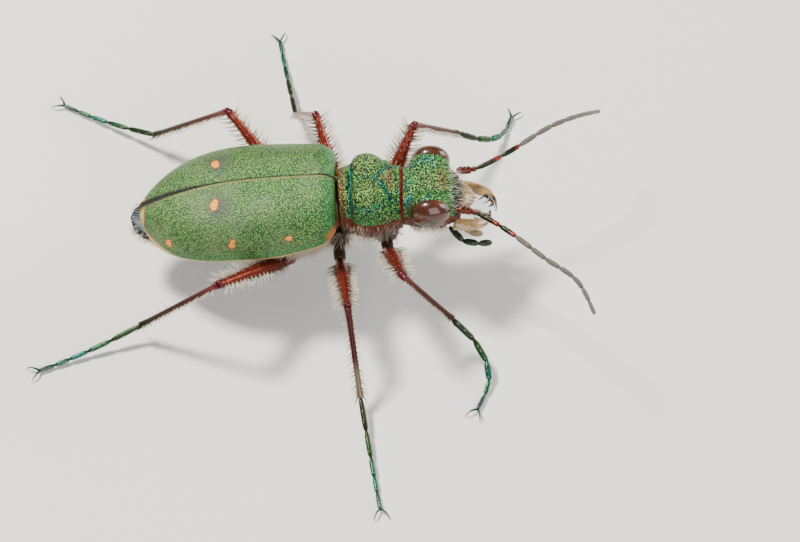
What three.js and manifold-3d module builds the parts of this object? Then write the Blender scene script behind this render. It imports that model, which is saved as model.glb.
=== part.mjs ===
// A green tiger beetle at life size, standing on a floor at z = 0.
// Millimetres, +Z up, +X towards the head, +Y towards the beetle's left side.
// The trunk is modelled in its own level frame, with its origin on the midline at the front of the
// wing cases, and is then pitched nose up and raised. The legs are set straight in the standing frame.
import * as THREE from 'three';
import { mergeVertices } from 'three/addons/utils/BufferGeometryUtils.js';
import Module from 'manifold-3d';

const wasm = await Module();
wasm.setup();
const { Manifold, Mesh } = wasm;

const vec = (x, y, z) => new THREE.Vector3(x, y, z);
const mix = THREE.MathUtils.lerp;
const clamp = THREE.MathUtils.clamp;

// Driving sizes
const GAP = 0.2; // clear space kept between touching nodes
const TRUNK_HEIGHT = 4.2; // wing case edge above the floor, at the front of the wing cases
const TRUNK_PITCH = THREE.MathUtils.degToRad(3.5); // nose up
const ELYTRA_LENGTH = 8.15;
const ELYTRA_HALF_WIDTH = 2.52;
const ELYTRA_RISE = 2.12; // top of the wing cases above their edge
const ELYTRA_THICKNESS = 0.5;
const EPIPLEURON_LIFT = 0.6; // how far the edge climbs at the shoulder
const APEX_DROOP = 0.9; // how far the edge sinks at the tip
const BELLY_DEPTH = 1.7; // underside below the wing case edge
const ABDOMEN_TAIL = 0.55; // last plate beyond the wing cases
const WAIST_X = -3.1; // where the thorax ends and the abdomen starts
const PRONOTUM = { rear: 0.3, front: 2.78, halfWidth: 1.62, top: 1.95, bottom: -1.25 };
const LOBE = { centre: vec(1.38, 0.72, 0.9), radii: vec(0.86, 0.84, 1.34) }; // swellings of the pronotum
const HEAD = { rear: 2.98, front: 5.35, halfWidth: 1.12, top: 1.66, bottom: -0.75 };
const EYE = { x: 4.05, y: 1.33, z: 1.05, length: 0.82, width: 0.56, height: 0.76 };
const LIMB_RADIUS = 0.25; // thinnest leg and feeler radius, except at the tips
const TIP_RADIUS = 0.14;

// Closed geometry to a solid and back
function solidOf(geometry) {
  const bare = geometry.index ? geometry.toNonIndexed() : geometry.clone();
  bare.deleteAttribute('normal');
  bare.deleteAttribute('uv');
  const merged = mergeVertices(bare, 1e-4);
  const triVerts = new Uint32Array(merged.index.array);
  const vertProperties = merged.attributes.position.array;
  const made = new Manifold(new Mesh({ numProp: 3, vertProperties, triVerts }));
  if (made.volume() > 0) return made;
  for (let i = 0; i < triVerts.length; i += 3) {
    [triVerts[i + 1], triVerts[i + 2]] = [triVerts[i + 2], triVerts[i + 1]];
  }
  return new Manifold(new Mesh({ numProp: 3, vertProperties, triVerts }));
}

function geometryOf(solid) {
  const bodies = solid.decompose();
  const largest = bodies.reduce((a, b) => (b.volume() > a.volume() ? b : a));
  const mesh = largest.getMesh();
  const geometry = new THREE.BufferGeometry();
  geometry.setAttribute('position', new THREE.BufferAttribute(mesh.vertProperties, 3));
  geometry.setIndex(new THREE.BufferAttribute(mesh.triVerts, 1));
  const flat = geometry.toNonIndexed();
  flat.computeVertexNormals();
  return flat;
}

const join = (solids) => Manifold.union(solids);

// A closed body through rings of points, with a fan over each end
function loft(rings) {
  const sides = rings[0].length;
  const points = rings.flat();
  const middle = (ring) => ring.reduce((sum, p) => sum.add(p), vec(0, 0, 0)).divideScalar(sides);
  points.push(middle(rings[0]), middle(rings.at(-1)));
  const first = points.length - 2;
  const lastRing = (rings.length - 1) * sides;
  const faces = [];
  for (let k = 0; k < sides; k++) {
    const next = (k + 1) % sides;
    for (let i = 0; i < rings.length - 1; i++) {
      const a = i * sides;
      const b = a + sides;
      faces.push(a + k, a + next, b + k, a + next, b + next, b + k);
    }
    faces.push(first, next, k, first + 1, lastRing + k, lastRing + next);
  }
  const geometry = new THREE.BufferGeometry().setFromPoints(points);
  geometry.setIndex(faces);
  return solidOf(geometry);
}

// Rings across the trunk. section(t) gives { x, half, top, bottom, z, power } for t from 0 to 1.
function trunkLoft(section, steps, sides = 24) {
  const rings = [];
  for (let i = 0; i <= steps; i++) {
    const { x, half, top, bottom, z, power = 2, lean = 0 } = section(i / steps);
    const ring = [];
    for (let k = 0; k < sides; k++) {
      const angle = ((k + 0.5) / sides) * Math.PI * 2;
      const c = Math.cos(angle);
      const s = Math.sin(angle);
      const y = half * Math.sign(c) * Math.abs(c) ** (2 / power);
      const rise = Math.sign(s) * Math.abs(s) ** (2 / power) * (s > 0 ? top - z : z - bottom);
      ring.push(vec(x + lean * rise, y, z + rise));
    }
    rings.push(ring);
  }
  return loft(rings);
}

// A round rod between two points. profile lists [share of the length, radius].
const UP = vec(0, 1, 0);
function rod(from, to, profile, sides = 8) {
  const axis = to.clone().sub(from);
  const length = axis.length();
  const outline = [new THREE.Vector2(0, profile[0][0] * length)];
  for (const [share, radius] of profile) outline.push(new THREE.Vector2(radius, share * length));
  outline.push(new THREE.Vector2(0, profile.at(-1)[0] * length));
  const geometry = new THREE.LatheGeometry(outline, sides);
  geometry.applyQuaternion(new THREE.Quaternion().setFromUnitVectors(UP, axis.normalize()));
  geometry.translate(from.x, from.y, from.z);
  return solidOf(geometry);
}

// A tapering horn along a curve
function horn(curve, radiusAt, steps, sides = 8) {
  const frames = curve.computeFrenetFrames(steps, false);
  const rings = [];
  for (let i = 0; i <= steps; i++) {
    const centre = curve.getPointAt(i / steps);
    const [wide, deep] = radiusAt(i / steps);
    const ring = [];
    for (let k = 0; k < sides; k++) {
      const angle = (k / sides) * Math.PI * 2;
      const across = frames.normals[i].clone().multiplyScalar(Math.cos(angle) * wide);
      const along = frames.binormals[i].clone().multiplyScalar(Math.sin(angle) * deep);
      ring.push(centre.clone().add(across).add(along));
    }
    rings.push(ring);
  }
  return loft(rings);
}

function ball(centre, radii, wide = 12, high = 8) {
  const geometry = new THREE.SphereGeometry(1, wide, high);
  geometry.scale(radii.x, radii.y, radii.z);
  geometry.translate(centre.x, centre.y, centre.z);
  return solidOf(geometry);
}

function block(low, high) {
  const size = high.clone().sub(low);
  const geometry = new THREE.BoxGeometry(size.x, size.y, size.z);
  geometry.translate(low.x + size.x / 2, low.y + size.y / 2, low.z + size.z / 2);
  return solidOf(geometry);
}

// Materials
const coat = (color, roughness, metalness) =>
  new THREE.MeshStandardMaterial({ color, roughness, metalness });
const GREEN = coat(0x3f8f45, 0.45, 0.5);
const BRIGHT_GREEN = coat(0x2f9a52, 0.3, 0.7);
const COPPER = coat(0x8a3420, 0.35, 0.6);
const DARK_UNDERSIDE = coat(0x24402f, 0.35, 0.6);
const IVORY = coat(0xd9b878, 0.45, 0);
const EYE_BROWN = coat(0x6a3a26, 0.2, 0);
const FEELER = coat(0x5a4a3c, 0.5, 0.1);
const FOOT_GREEN = coat(0x2c7a55, 0.35, 0.6);

const beetle = new THREE.Group();
const trunk = new THREE.Group();
trunk.position.z = TRUNK_HEIGHT;
trunk.rotation.y = -TRUNK_PITCH;
beetle.add(trunk);
trunk.updateMatrix();
const toFloorFrame = (point) => point.clone().applyMatrix4(trunk.matrix);

function addNode(parent, name, solid, material) {
  const mesh = new THREE.Mesh(geometryOf(solid), material);
  mesh.name = name;
  parent.add(mesh);
}

// Wing cases: half width, top and edge height at share s of the length, 0 at the front
function elytraHalfWidth(s) {
  const shoulder = s < 0.1 ? mix(0.66, 1, Math.sqrt(1 - (1 - s / 0.1) ** 2)) : 1;
  const widening = 0.86 + 0.14 * Math.sin((Math.PI / 2) * Math.min(1, s / 0.45));
  const tail = s > 0.45 ? Math.max(0.02, (1 - ((s - 0.45) / 0.55) ** 2.6) ** 0.62) : 1;
  return ELYTRA_HALF_WIDTH * shoulder * widening * tail;
}

function elytraTop(s) {
  const crown = ELYTRA_RISE * (1 - 0.9 * s ** 3);
  const front = s < 0.06 ? 0.35 * (1 - s / 0.06) ** 2 : 0;
  return crown - front;
}

function elytraEdge(s) {
  const lift = EPIPLEURON_LIFT * (1 - clamp(s / 0.35, 0, 1)) ** 1.5;
  return lift - APEX_DROOP * clamp((s - 0.4) / 0.6, 0, 1) ** 1.6;
}

// The dome of both wing cases, taken in by `inset` and cut off at its edge
function elytraDome(inset, from, to, steps) {
  const section = (t) => {
    const s = mix(from, to, 1 - (1 - t) ** 1.6);
    const x = -s * ELYTRA_LENGTH;
    const half = Math.max(0.05, elytraHalfWidth(clamp(s, 0, 0.999)) - inset);
    const z = elytraEdge(clamp(s, 0, 1));
    const top = Math.max(z + 0.05, elytraTop(clamp(s, 0, 1)) - inset);
    return { x, half, top, bottom: z - (inset > 0 ? 1 : 0.02), z, power: 2.3 };
  };
  return trunkLoft(section, steps, 26);
}

function elytron(side) {
  const outer = elytraDome(0, 0, 1, 18);
  const hollow = elytraDome(ELYTRA_THICKNESS, -0.05, 0.93, 14);
  const inner = side > 0 ? GAP / 2 : -4;
  const outerSide = side > 0 ? 4 : -GAP / 2;
  const half = block(vec(-10, inner, -1), vec(1, outerSide, 4));
  const shell = outer.subtract(hollow).intersect(half);
  return shell.subtract(join([thorax(GAP), tailPlate(GAP), scutellum(GAP * 1.3)]));
}

// Body under the wing cases, from the waist forwards (thorax) or backwards (abdomen)
function bodyCore(grow) {
  const section = (t) => {
    const s = mix(0, 0.9, t);
    const inset = ELYTRA_THICKNESS + GAP + 0.03 - grow;
    const end = Math.sqrt(1 - clamp((s - 0.8) / 0.2, 0, 1) ** 2);
    const front = mix(0.72, 1, Math.sqrt(clamp(s / 0.12, 0, 1)));
    const z = Math.min(elytraEdge(s) * 0.3, elytraEdge(s));
    return {
      x: -s * ELYTRA_LENGTH + (t === 0 ? grow : 0),
      half: Math.max(0.1, elytraHalfWidth(s) - inset) * front,
      top: Math.max(z + 0.1, elytraTop(s) - inset),
      bottom: -(BELLY_DEPTH * mix(0.75, 1, end) * mix(0.9, 1, front) + grow),
      z,
      power: 2.3,
    };
  };
  return trunkLoft(section, 18, 24);
}

function thorax(grow = 0) {
  const core = bodyCore(grow).intersect(block(vec(WAIST_X - grow, -4, -4), vec(1, 4, 4)));
  // The narrow front ring that carries the pronotum and the shield between the wing cases
  const neckSection = (t) => ({
    x: mix(-0.9, PRONOTUM.rear - GAP + grow, t),
    half: mix(1.35, 1.0, t) + grow,
    top: mix(1.3, 1.15, t) + grow,
    bottom: mix(-1.3, -1.0, t) - grow,
    z: 0.1,
    power: 2.2,
  });
  return core.add(trunkLoft(neckSection, 4));
}

// The last plate of the abdomen, showing beyond the wing cases and below their edge
function tailPlate(grow) {
  const section = (t) => ({
    x: mix(-0.72, -1, t) * ELYTRA_LENGTH - (ABDOMEN_TAIL + grow) * t,
    half: 1.42 * Math.sqrt(Math.max(0.02, 1 - t ** 2.4)) + grow,
    top: mix(-0.5, -0.6, t) + grow,
    bottom: mix(-1.4, -1.05, t) - grow,
    z: mix(-0.9, -0.82, t),
    power: 2.2,
  });
  return trunkLoft(section, 10);
}

function abdomen() {
  const core = bodyCore(0).intersect(block(vec(-12, -4, -4), vec(WAIST_X - GAP, 4, 4)));
  let belly = core.add(tailPlate(0));
  // Grooves between the belly plates
  for (const s of [0.5, 0.63, 0.76]) {
    const x = -s * ELYTRA_LENGTH;
    belly = belly.subtract(block(vec(x - 0.06, -3, -3), vec(x + 0.06, 3, -1.55)));
  }
  return belly;
}

function scutellum(grow = 0) {
  const shape = new THREE.Shape([
    new THREE.Vector2(0.06 + grow, -0.45 - grow),
    new THREE.Vector2(0.06 + grow, 0.45 + grow),
    new THREE.Vector2(-0.25, 0.32 + grow),
    new THREE.Vector2(-0.72 - grow * 1.4, 0),
    new THREE.Vector2(-0.25, -0.32 - grow),
  ]);
  const geometry = new THREE.ExtrudeGeometry(shape, { depth: 0.5 + 2 * grow, bevelEnabled: false });
  geometry.rotateY(THREE.MathUtils.degToRad(9));
  geometry.translate(0, 0, 1.34 - grow);
  return solidOf(geometry);
}

// Pronotum: two swellings with a groove in front and behind
function pronotum(grow = 0) {
  const { rear, front, halfWidth, top, bottom } = PRONOTUM;
  const section = (t) => {
    const dip = (at, width) => Math.exp(-(((t - at) / width) ** 2));
    const groove = 0.13 * (dip(0.2, 0.055) + dip(0.84, 0.06));
    const disc = Math.sin(Math.PI * clamp((t - 0.08) / 0.86, 0, 1)) ** 0.7;
    const rim = Math.min(1, Math.sqrt(Math.min(t, 1 - t) / 0.03 + 0.45));
    return {
      x: mix(rear - grow, front + grow, t),
      half: halfWidth * (0.78 + 0.22 * disc - groove * 0.55) * rim + grow,
      top: top - 0.24 + 0.24 * disc - groove * 1.2 - (1 - rim) * 0.4 + grow,
      bottom: mix(bottom + 0.1, bottom + 0.35, t) - 0.1 * disc - grow,
      z: 0.25,
      power: 2.25,
    };
  };
  const lobes = [-1, 1].map((side) => {
    const { x, y, z } = LOBE.centre;
    return ball(vec(x, y * side, z), LOBE.radii.clone().addScalar(grow), 14, 10);
  });
  return join([trunkLoft(section, 18, 24), ...lobes]);
}

// Head: a broad capsule between the eyes, level on top and falling steeply to the mouth
function headCapsule(grow = 0) {
  const { rear, front, halfWidth, top, bottom } = HEAD;
  const section = (t) => {
    const fall = clamp((t - 0.6) / 0.4, 0, 1);
    const rise = Math.sqrt(clamp(t / 0.3, 0, 1));
    const rim = Math.min(1, Math.sqrt(t / 0.04 + 0.6));
    return {
      x: mix(rear, front + grow, t),
      half: halfWidth * (1.04 + 0.1 * Math.sin(Math.PI * t) - 0.34 * fall ** 1.6) * rim + grow,
      top: mix(top - 0.2, top, rise) - 0.9 * fall ** 2.2 + grow,
      bottom: mix(bottom, bottom + 0.1, t) - 0.12 * Math.sin(Math.PI * t) - grow,
      z: mix(0.45, 0.1, t),
      power: 2.3,
    };
  };
  return trunkLoft(section, 14, 24);
}

const eyeCentre = (side) => vec(EYE.x, side * EYE.y, EYE.z);
const eyeBall = (side, grow) =>
  ball(eyeCentre(side), vec(EYE.length + grow, EYE.width + grow, EYE.height + grow), 16, 10);

function head() {
  let capsule = headCapsule();
  for (const side of [-1, 1]) {
    // The rounded cheek and brow that carry each eye
    const seat = eyeCentre(side).add(vec(-0.05, -side * 0.3, -0.1));
    capsule = capsule.add(ball(seat, vec(0.86, 0.62, 0.86), 16, 10));
    capsule = capsule.subtract(eyeBall(side, GAP));
  }
  return capsule;
}

// The eye fills its socket and keeps clear of the head
const eye = (side) => eyeBall(side, 0);

function labrum() {
  const shape = new THREE.Shape();
  shape.moveTo(-0.3, -0.66);
  shape.lineTo(0, -0.66);
  shape.quadraticCurveTo(0.5, -0.66, 0.62, -0.38);
  shape.lineTo(0.6, -0.16);
  shape.lineTo(0.78, 0);
  shape.lineTo(0.6, 0.16);
  shape.lineTo(0.62, 0.38);
  shape.quadraticCurveTo(0.5, 0.66, 0, 0.66);
  shape.lineTo(-0.3, 0.66);
  const geometry = new THREE.ExtrudeGeometry(shape, { depth: 0.5, bevelEnabled: false, curveSegments: 5 });
  geometry.rotateY(THREE.MathUtils.degToRad(20));
  geometry.translate(HEAD.front, 0, 0.04);
  return solidOf(geometry).subtract(headCapsule(GAP));
}

// Each mandible is a flattened sickle with three teeth, and they cross in front of the mouth
const MANDIBLE = {
  left: { base: vec(4.95, 0.98, -0.4), bend: vec(6.75, 0.84, -0.4), tip: vec(6.72, -0.36, -0.4) },
  right: { base: vec(4.95, -0.98, -0.35), bend: vec(6.5, -0.98, -0.8), tip: vec(6.45, 0.12, -1.02) },
};
function mandible({ base, bend, tip }) {
  const curve = new THREE.QuadraticBezierCurve3(base, bend, tip);
  const radiusAt = (t) => [mix(0.3, 0.1, t ** 1.2), mix(0.27, 0.1, t ** 1.2)];
  const pieces = [horn(curve, radiusAt, 10, 6)];
  const inward = tip.clone().sub(bend).setX(-0.7).setZ(0).normalize();
  for (const t of [0.55, 0.7, 0.83]) {
    const root = curve.getPointAt(t);
    const point = root.clone().addScaledVector(inward, 0.42 - 0.22 * (t - 0.4));
    pieces.push(rod(root, point, [[0, 0.15], [0.6, 0.11], [1, 0.05]], 6));
  }
  return join(pieces).subtract(headCapsule(GAP));
}

// Palps hang in a jointed bow beside the mouth
function palp(points, radius) {
  const pieces = [];
  for (let i = 0; i < points.length - 1; i++) {
    const last = i === points.length - 2;
    const end = radius * (last ? 0.6 : 0.9);
    const profile = [[-0.08, radius * 0.6], [0.1, radius * 0.85], [0.8, radius], [1.05, end]];
    pieces.push(rod(points[i], points[i + 1], profile));
  }
  return join(pieces);
}
const MAXILLARY_PALP = [
  vec(4.75, 0.75, -1.1),
  vec(5.3, 1.3, -1.2),
  vec(5.95, 1.42, -1.25),
  vec(6.5, 1.25, -1.45),
];
const LABIAL_PALP = [vec(5.1, 0.35, -1.15), vec(5.55, 0.55, -1.72), vec(6.1, 0.5, -1.9)];
const onSide = (points, side) => points.map((point) => vec(point.x, point.y * side, point.z));
const maxillaryPalp = (side) => palp(onSide(MAXILLARY_PALP, side), LIMB_RADIUS);
const labialPalp = (side) => palp(onSide(LABIAL_PALP, side), LIMB_RADIUS);

// Feelers of eleven joints: each joint's share of the whole length, from the head outwards
const FEELER_SHARES = [0.085, 0.025, 0.155, 0.115, 0.115, 0.1, 0.09, 0.085, 0.08, 0.075, 0.075];
const FEELER_NODES = { scape: [0, 1], lower: [2, 3], middle: [4, 6], tip: [7, 10] };
// Each feeler leaves the head at `root`, in the trunk frame, and bows through these points
const FEELERS = {
  right: {
    root: vec(5.12, -0.98, 0.72),
    bow: [
      vec(5.9, -1.15, 5.2),
      vec(7.18, -2.23, 5.5),
      vec(8.66, -3.76, 5.8),
      vec(10.0, -4.84, 5.7),
      vec(10.7, -6.2, 5.3),
    ],
  },
  left: {
    root: vec(5.12, 0.98, 0.72),
    bow: [
      vec(5.95, 1.1, 5.25),
      vec(7.27, 1.74, 5.5),
      vec(8.9, 2.88, 5.6),
      vec(10.1, 3.68, 5.3),
      vec(11.2, 4.75, 4.2),
    ],
  },
};
function feelerPoints({ root, bow }) {
  const curve = new THREE.CatmullRomCurve3([toFloorFrame(root), ...bow], false, 'centripetal');
  const points = [curve.getPointAt(0)];
  let share = 0;
  for (const part of FEELER_SHARES) {
    share += part;
    points.push(curve.getPointAt(Math.min(1, share)));
  }
  return points;
}

function feelerNode(points, [from, to]) {
  const pieces = [];
  for (let j = from; j <= to; j++) {
    const length = points[j].distanceTo(points[j + 1]);
    const start = j === from ? (1.3 * GAP) / length : -0.12;
    const tip = j === FEELER_SHARES.length - 1;
    const swell = j === 0 ? 0.3 : LIMB_RADIUS;
    const end = j === to ? 1 : 1.08;
    const endRadius = tip ? TIP_RADIUS : LIMB_RADIUS * 0.92;
    const profile = [[start, LIMB_RADIUS * 0.86], [0.75, swell], [end, endRadius]];
    pieces.push(rod(points[j], points[j + 1], profile, 7));
  }
  return join(pieces);
}

// Legs. Each leg lists the hip in the trunk frame, then the knee, the ankle, the bend of the foot where
// it has one and the toe in the standing frame; the segments follow from these.
const LEGS = {
  front_right: {
    hip: [2.05, -1.3, -1.35],
    knee: [2.83, -4.14, 5.0],
    ankle: [4.87, -4.3, 2.0],
    bend: [7.0, -5.35, 0.45],
    toe: [5.92, -7.7],
  },
  middle_right: {
    hip: [0.05, -1.5, -1.7],
    knee: [0.54, -4.96, 3.9],
    ankle: [1.06, -7.44, 0.8],
    toe: [1.9, -12.5],
  },
  hind_right: {
    hip: [-1.75, -1.45, -1.8],
    knee: [-4.83, -4.32, 4.6],
    ankle: [-8.2, -3.98, 0.95],
    toe: [-12.5, -5.76],
  },
  front_left: {
    hip: [2.05, 1.3, -1.35],
    knee: [3.3, 3.35, 5.2],
    ankle: [5.17, 4.85, 2.4],
    bend: [6.9, 5.4, 0.5],
    toe: [7.6, 7.3],
  },
  middle_left: {
    hip: [0.05, 1.5, -1.7],
    knee: [-0.87, 4.5, 4.3],
    ankle: [-1.8, 6.7, 1.1],
    toe: [-2.6, 11.4],
  },
  hind_left: {
    hip: [-1.75, 1.45, -1.8],
    knee: [-4.58, 4.33, 4.8],
    ankle: [-7.9, 5.7, 1.05],
    toe: [-12.0, 7.9],
  },
};
const FEMUR_RADIUS = { front: 0.31, middle: 0.29, hind: 0.32 };
const TARSUS_SHARES = [0.29, 0.22, 0.17, 0.14, 0.18];
const CLAW_LENGTH = 0.55;
const FOOT_RADIUS = 0.25;
const FOOT_SIDES = 6;
const TOE_HEIGHT = 0.17; // axis of the last tarsus joint, so that its underside is cut flat by the floor

// The hip is a rounded cone that leaves the body, with a short trochanter towards the knee
const COXA_SIZE = {
  front: vec(0.62, 0.5, 0.75),
  middle: vec(0.6, 0.5, 0.6),
  hind: vec(0.85, 0.6, 0.45),
};
const TROCHANTER_REACH = 0.35; // from the hip point towards the knee
function coxa(hip, towardsKnee, region, grow = 0) {
  const side = Math.sign(hip.y);
  const size = COXA_SIZE[region].clone().addScalar(grow);
  const centre = hip.clone().add(vec(0, -side * 0.5, 0.42));
  const cone = ball(centre, size, 10, 7);
  const root = hip.clone().addScaledVector(towardsKnee, -0.45);
  const end = hip.clone().addScaledVector(towardsKnee, TROCHANTER_REACH + grow);
  const trochanter = rod(root, end, [[0, 0.28 + grow], [0.5, 0.33 + grow], [1, 0.28 + grow]]);
  return cone.add(trochanter);
}

function femur(from, to, radius, grow = 0) {
  const reach = (share) => share + grow / from.distanceTo(to);
  const profile = [
    [0, 0.22 + grow],
    [0.08, radius * 0.85 + grow],
    [0.3, radius + grow],
    [0.6, radius * 0.86 + grow],
    [0.9, 0.26 + grow],
    [reach(1.03), 0.22 + grow],
  ];
  return rod(from, to, profile, 10);
}

function tibia(from, to) {
  const start = 0.02;
  const profile = [
    [start, 0.22],
    [start + 0.05, 0.26],
    [0.2, LIMB_RADIUS],
    [0.8, LIMB_RADIUS + 0.01],
    [0.97, 0.3],
    [1, 0.25],
  ];
  const shaft = rod(from, to, profile, 8);
  // Two spurs at the end, splayed to either side
  const along = to.clone().sub(from).normalize();
  const across = vec(-along.y, along.x, 0).normalize();
  const spurs = [-1, 1].map((side) => {
    const root = from.clone().lerp(to, 0.93).addScaledVector(across, side * 0.12);
    const point = to.clone().addScaledVector(along, 0.32).addScaledVector(across, side * 0.42);
    return rod(root, point, [[0, 0.16], [0.55, 0.12], [1, 0.05]], 5);
  });
  return join([shaft, ...spurs]);
}

// The foot leaves the ankle, bows through its bend down to the floor and lies on its last joint
function tarsusPoints(ankle, toe, bend) {
  const back = bend ?? ankle.clone().lerp(toe, 0.45).setZ(TOE_HEIGHT + 0.1);
  const length = ankle.distanceTo(back) + back.distanceTo(toe);
  const level = toe.clone().sub(back).setZ(0).normalize();
  const heel = toe.clone().addScaledVector(level, -0.88 * length * TARSUS_SHARES[4]);
  const curve = new THREE.QuadraticBezierCurve3(ankle, back, heel);
  const points = [ankle.clone()];
  let share = 0;
  for (const part of TARSUS_SHARES.slice(0, 4)) {
    share += part / (1 - TARSUS_SHARES[4]);
    points.push(curve.getPointAt(Math.min(1, share)));
  }
  points.push(toe.clone());
  return points;
}

function footJoint(from, to, start, grow = 0) {
  const profile = [
    [start, FOOT_RADIUS * 0.84 + grow],
    [0.8, FOOT_RADIUS * 1.06 + grow],
    [1.04, FOOT_RADIUS * 0.94 + grow],
  ];
  return rod(from, to, profile, FOOT_SIDES);
}
const firstFootJoint = (points, grow) => footJoint(points[0], points[1], 0, grow);

function tarsus(points, along) {
  const pieces = [];
  for (let j = 0; j < TARSUS_SHARES.length; j++) {
    const from = points[j];
    const to = points[j + 1];
    const start = j === 0 ? GAP / from.distanceTo(to) : -0.1;
    pieces.push(footJoint(from, to, start));
  }
  const toe = points.at(-1);
  const across = vec(-along.y, along.x, 0);
  for (const side of [-1, 1]) {
    const spread = (out, forward, z) =>
      toe.clone().addScaledVector(across, side * out).addScaledVector(along, forward).setZ(z);
    const root = spread(0.06, -0.12, 0.2);
    const arch = spread(0.26, 0.3, 0.34);
    const point = spread(0.34, CLAW_LENGTH - 0.1, 0.08);
    const curve = new THREE.QuadraticBezierCurve3(root, arch, point);
    pieces.push(horn(curve, (t) => [mix(0.13, 0.05, t), mix(0.13, 0.05, t)], 4, 6));
  }
  const aboveFloor = block(vec(-30, -30, 0), vec(30, 30, 20));
  return join(pieces).intersect(aboveFloor);
}

// Assembly of the trunk
addNode(trunk, 'elytron_left', elytron(1), GREEN);
addNode(trunk, 'elytron_right', elytron(-1), GREEN);
addNode(trunk, 'abdomen', abdomen(), DARK_UNDERSIDE);
addNode(trunk, 'pronotum', pronotum(), BRIGHT_GREEN);
addNode(trunk, 'head', head(), BRIGHT_GREEN);
addNode(trunk, 'labrum', labrum(), IVORY);
for (const [sideName, side] of [['left', 1], ['right', -1]]) {
  addNode(trunk, `eye_${sideName}`, eye(side), EYE_BROWN);
  addNode(trunk, `mandible_${sideName}`, mandible(MANDIBLE[sideName]), IVORY);
  addNode(trunk, `maxillary_palp_${sideName}`, maxillaryPalp(side), COPPER);
  addNode(trunk, `labial_palp_${sideName}`, labialPalp(side), IVORY);
}

addNode(trunk, 'thorax', thorax(), DARK_UNDERSIDE);
addNode(trunk, 'scutellum', scutellum().subtract(thorax(GAP)), COPPER);

// Assembly of the feelers and legs
for (const [sideName, feeler] of Object.entries(FEELERS)) {
  const points = feelerPoints(feeler);
  for (const [nodeName, range] of Object.entries(FEELER_NODES)) {
    const material = range[0] < 4 ? COPPER : FEELER;
    addNode(beetle, `antenna_${nodeName}_${sideName}`, feelerNode(points, range), material);
  }
}
for (const [legName, leg] of Object.entries(LEGS)) {
  const region = legName.split('_')[0];
  const hip = vec(...leg.hip);
  const hipOnFloor = toFloorFrame(hip);
  const knee = vec(...leg.knee);
  const ankle = vec(...leg.ankle);
  const toe = vec(leg.toe[0], leg.toe[1], TOE_HEIGHT);
  const kneeOnTrunk = knee.clone().applyMatrix4(trunk.matrix.clone().invert());
  const towardsKnee = kneeOnTrunk.clone().sub(hip).normalize();
  const carriers = pronotum(GAP).add(thorax(GAP * 1.2));
  addNode(trunk, `coxa_${legName}`, coxa(hip, towardsKnee, region).subtract(carriers), COPPER);
  const femurStart = toFloorFrame(hip.clone().addScaledVector(towardsKnee, TROCHANTER_REACH));
  const bodySide = join([carriers, coxa(hip, towardsKnee, region, GAP)]).transform(trunk.matrix.elements);
  const thigh = (grow) => femur(femurStart, knee, FEMUR_RADIUS[region], grow);
  addNode(beetle, `femur_${legName}`, thigh(0).subtract(bodySide), COPPER);
  const points = tarsusPoints(ankle, toe, leg.bend && vec(...leg.bend));
  const shin = tibia(knee, ankle).subtract(thigh(GAP)).subtract(firstFootJoint(points, GAP));
  addNode(beetle, `tibia_${legName}`, shin, COPPER);
  const along = toe.clone().sub(points.at(-2)).setZ(0).normalize();
  addNode(beetle, `tarsus_${legName}`, tarsus(points, along), FOOT_GREEN);
}

// The origin is on the floor, under the middle of the whole outline
beetle.updateMatrixWorld(true);
const outline = new THREE.Box3().setFromObject(beetle, true);
const middle = outline.getCenter(vec(0, 0, 0));
for (const child of beetle.children) {
  child.position.x -= middle.x;
  child.position.y -= middle.y;
}

export default beetle;
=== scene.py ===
"""A green tiger beetle at life size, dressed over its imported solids."""
import random
from collections import namedtuple
from math import copysign, cos, exp, hypot, pi, radians, sin, sqrt, tau

import bpy
from mathutils import Matrix, Vector


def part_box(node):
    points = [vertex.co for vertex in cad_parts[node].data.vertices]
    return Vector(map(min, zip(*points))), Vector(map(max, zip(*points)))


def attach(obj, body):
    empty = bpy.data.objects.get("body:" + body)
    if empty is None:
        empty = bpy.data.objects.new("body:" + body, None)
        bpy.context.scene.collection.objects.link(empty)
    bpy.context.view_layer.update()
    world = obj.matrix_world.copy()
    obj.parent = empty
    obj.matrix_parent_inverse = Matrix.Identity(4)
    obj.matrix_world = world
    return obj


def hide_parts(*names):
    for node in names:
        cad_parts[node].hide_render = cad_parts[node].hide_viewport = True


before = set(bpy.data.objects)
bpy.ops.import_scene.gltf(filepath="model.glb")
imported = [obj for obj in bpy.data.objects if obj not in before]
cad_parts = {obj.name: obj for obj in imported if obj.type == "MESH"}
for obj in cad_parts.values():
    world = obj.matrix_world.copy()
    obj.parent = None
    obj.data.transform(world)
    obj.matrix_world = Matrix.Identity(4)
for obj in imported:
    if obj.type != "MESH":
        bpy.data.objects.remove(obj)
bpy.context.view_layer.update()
rng = random.Random(11)
MATERIALS = {}
SIDES = ((1, "left"), (-1, "right"))

# Sizes in millimetres, in the trunk's own level frame unless a name says otherwise
MM = 0.001
TRUNK_HEIGHT = 4.2
TRUNK_PITCH = radians(3.5)
ELYTRA = {"length": 8.15, "half_width": 2.52, "rise": 2.12, "shell": 0.14}
SHOULDER_END, WIDEST = 0.1, 0.45  # as shares of the wing case
EPIPLEURON_LIFT = 0.6
APEX_DROOP = 0.9
BELLY_DEPTH = 1.7
ABDOMEN_TAIL = 0.55
CHEST_LENGTH = 3.2
BODY_END = 0.93  # as a share of the wing case
SCUTELLUM = {"front": 0.05, "rear": -0.62, "half_width": 0.42, "height": 1.74, "shell": 0.2}
PRONOTUM = {"rear": 0.3, "front": 2.78, "half_width": 1.62, "top": 1.95, "bottom": -1.25}
LOBE = {"centre": Vector((1.38, 0.70, 0.9)), "radii": Vector((0.90, 0.86, 1.26))}
HEAD = {"rear": 2.98, "front": 5.35, "half_width": 1.12, "top": 1.66, "bottom": -0.75}
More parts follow.
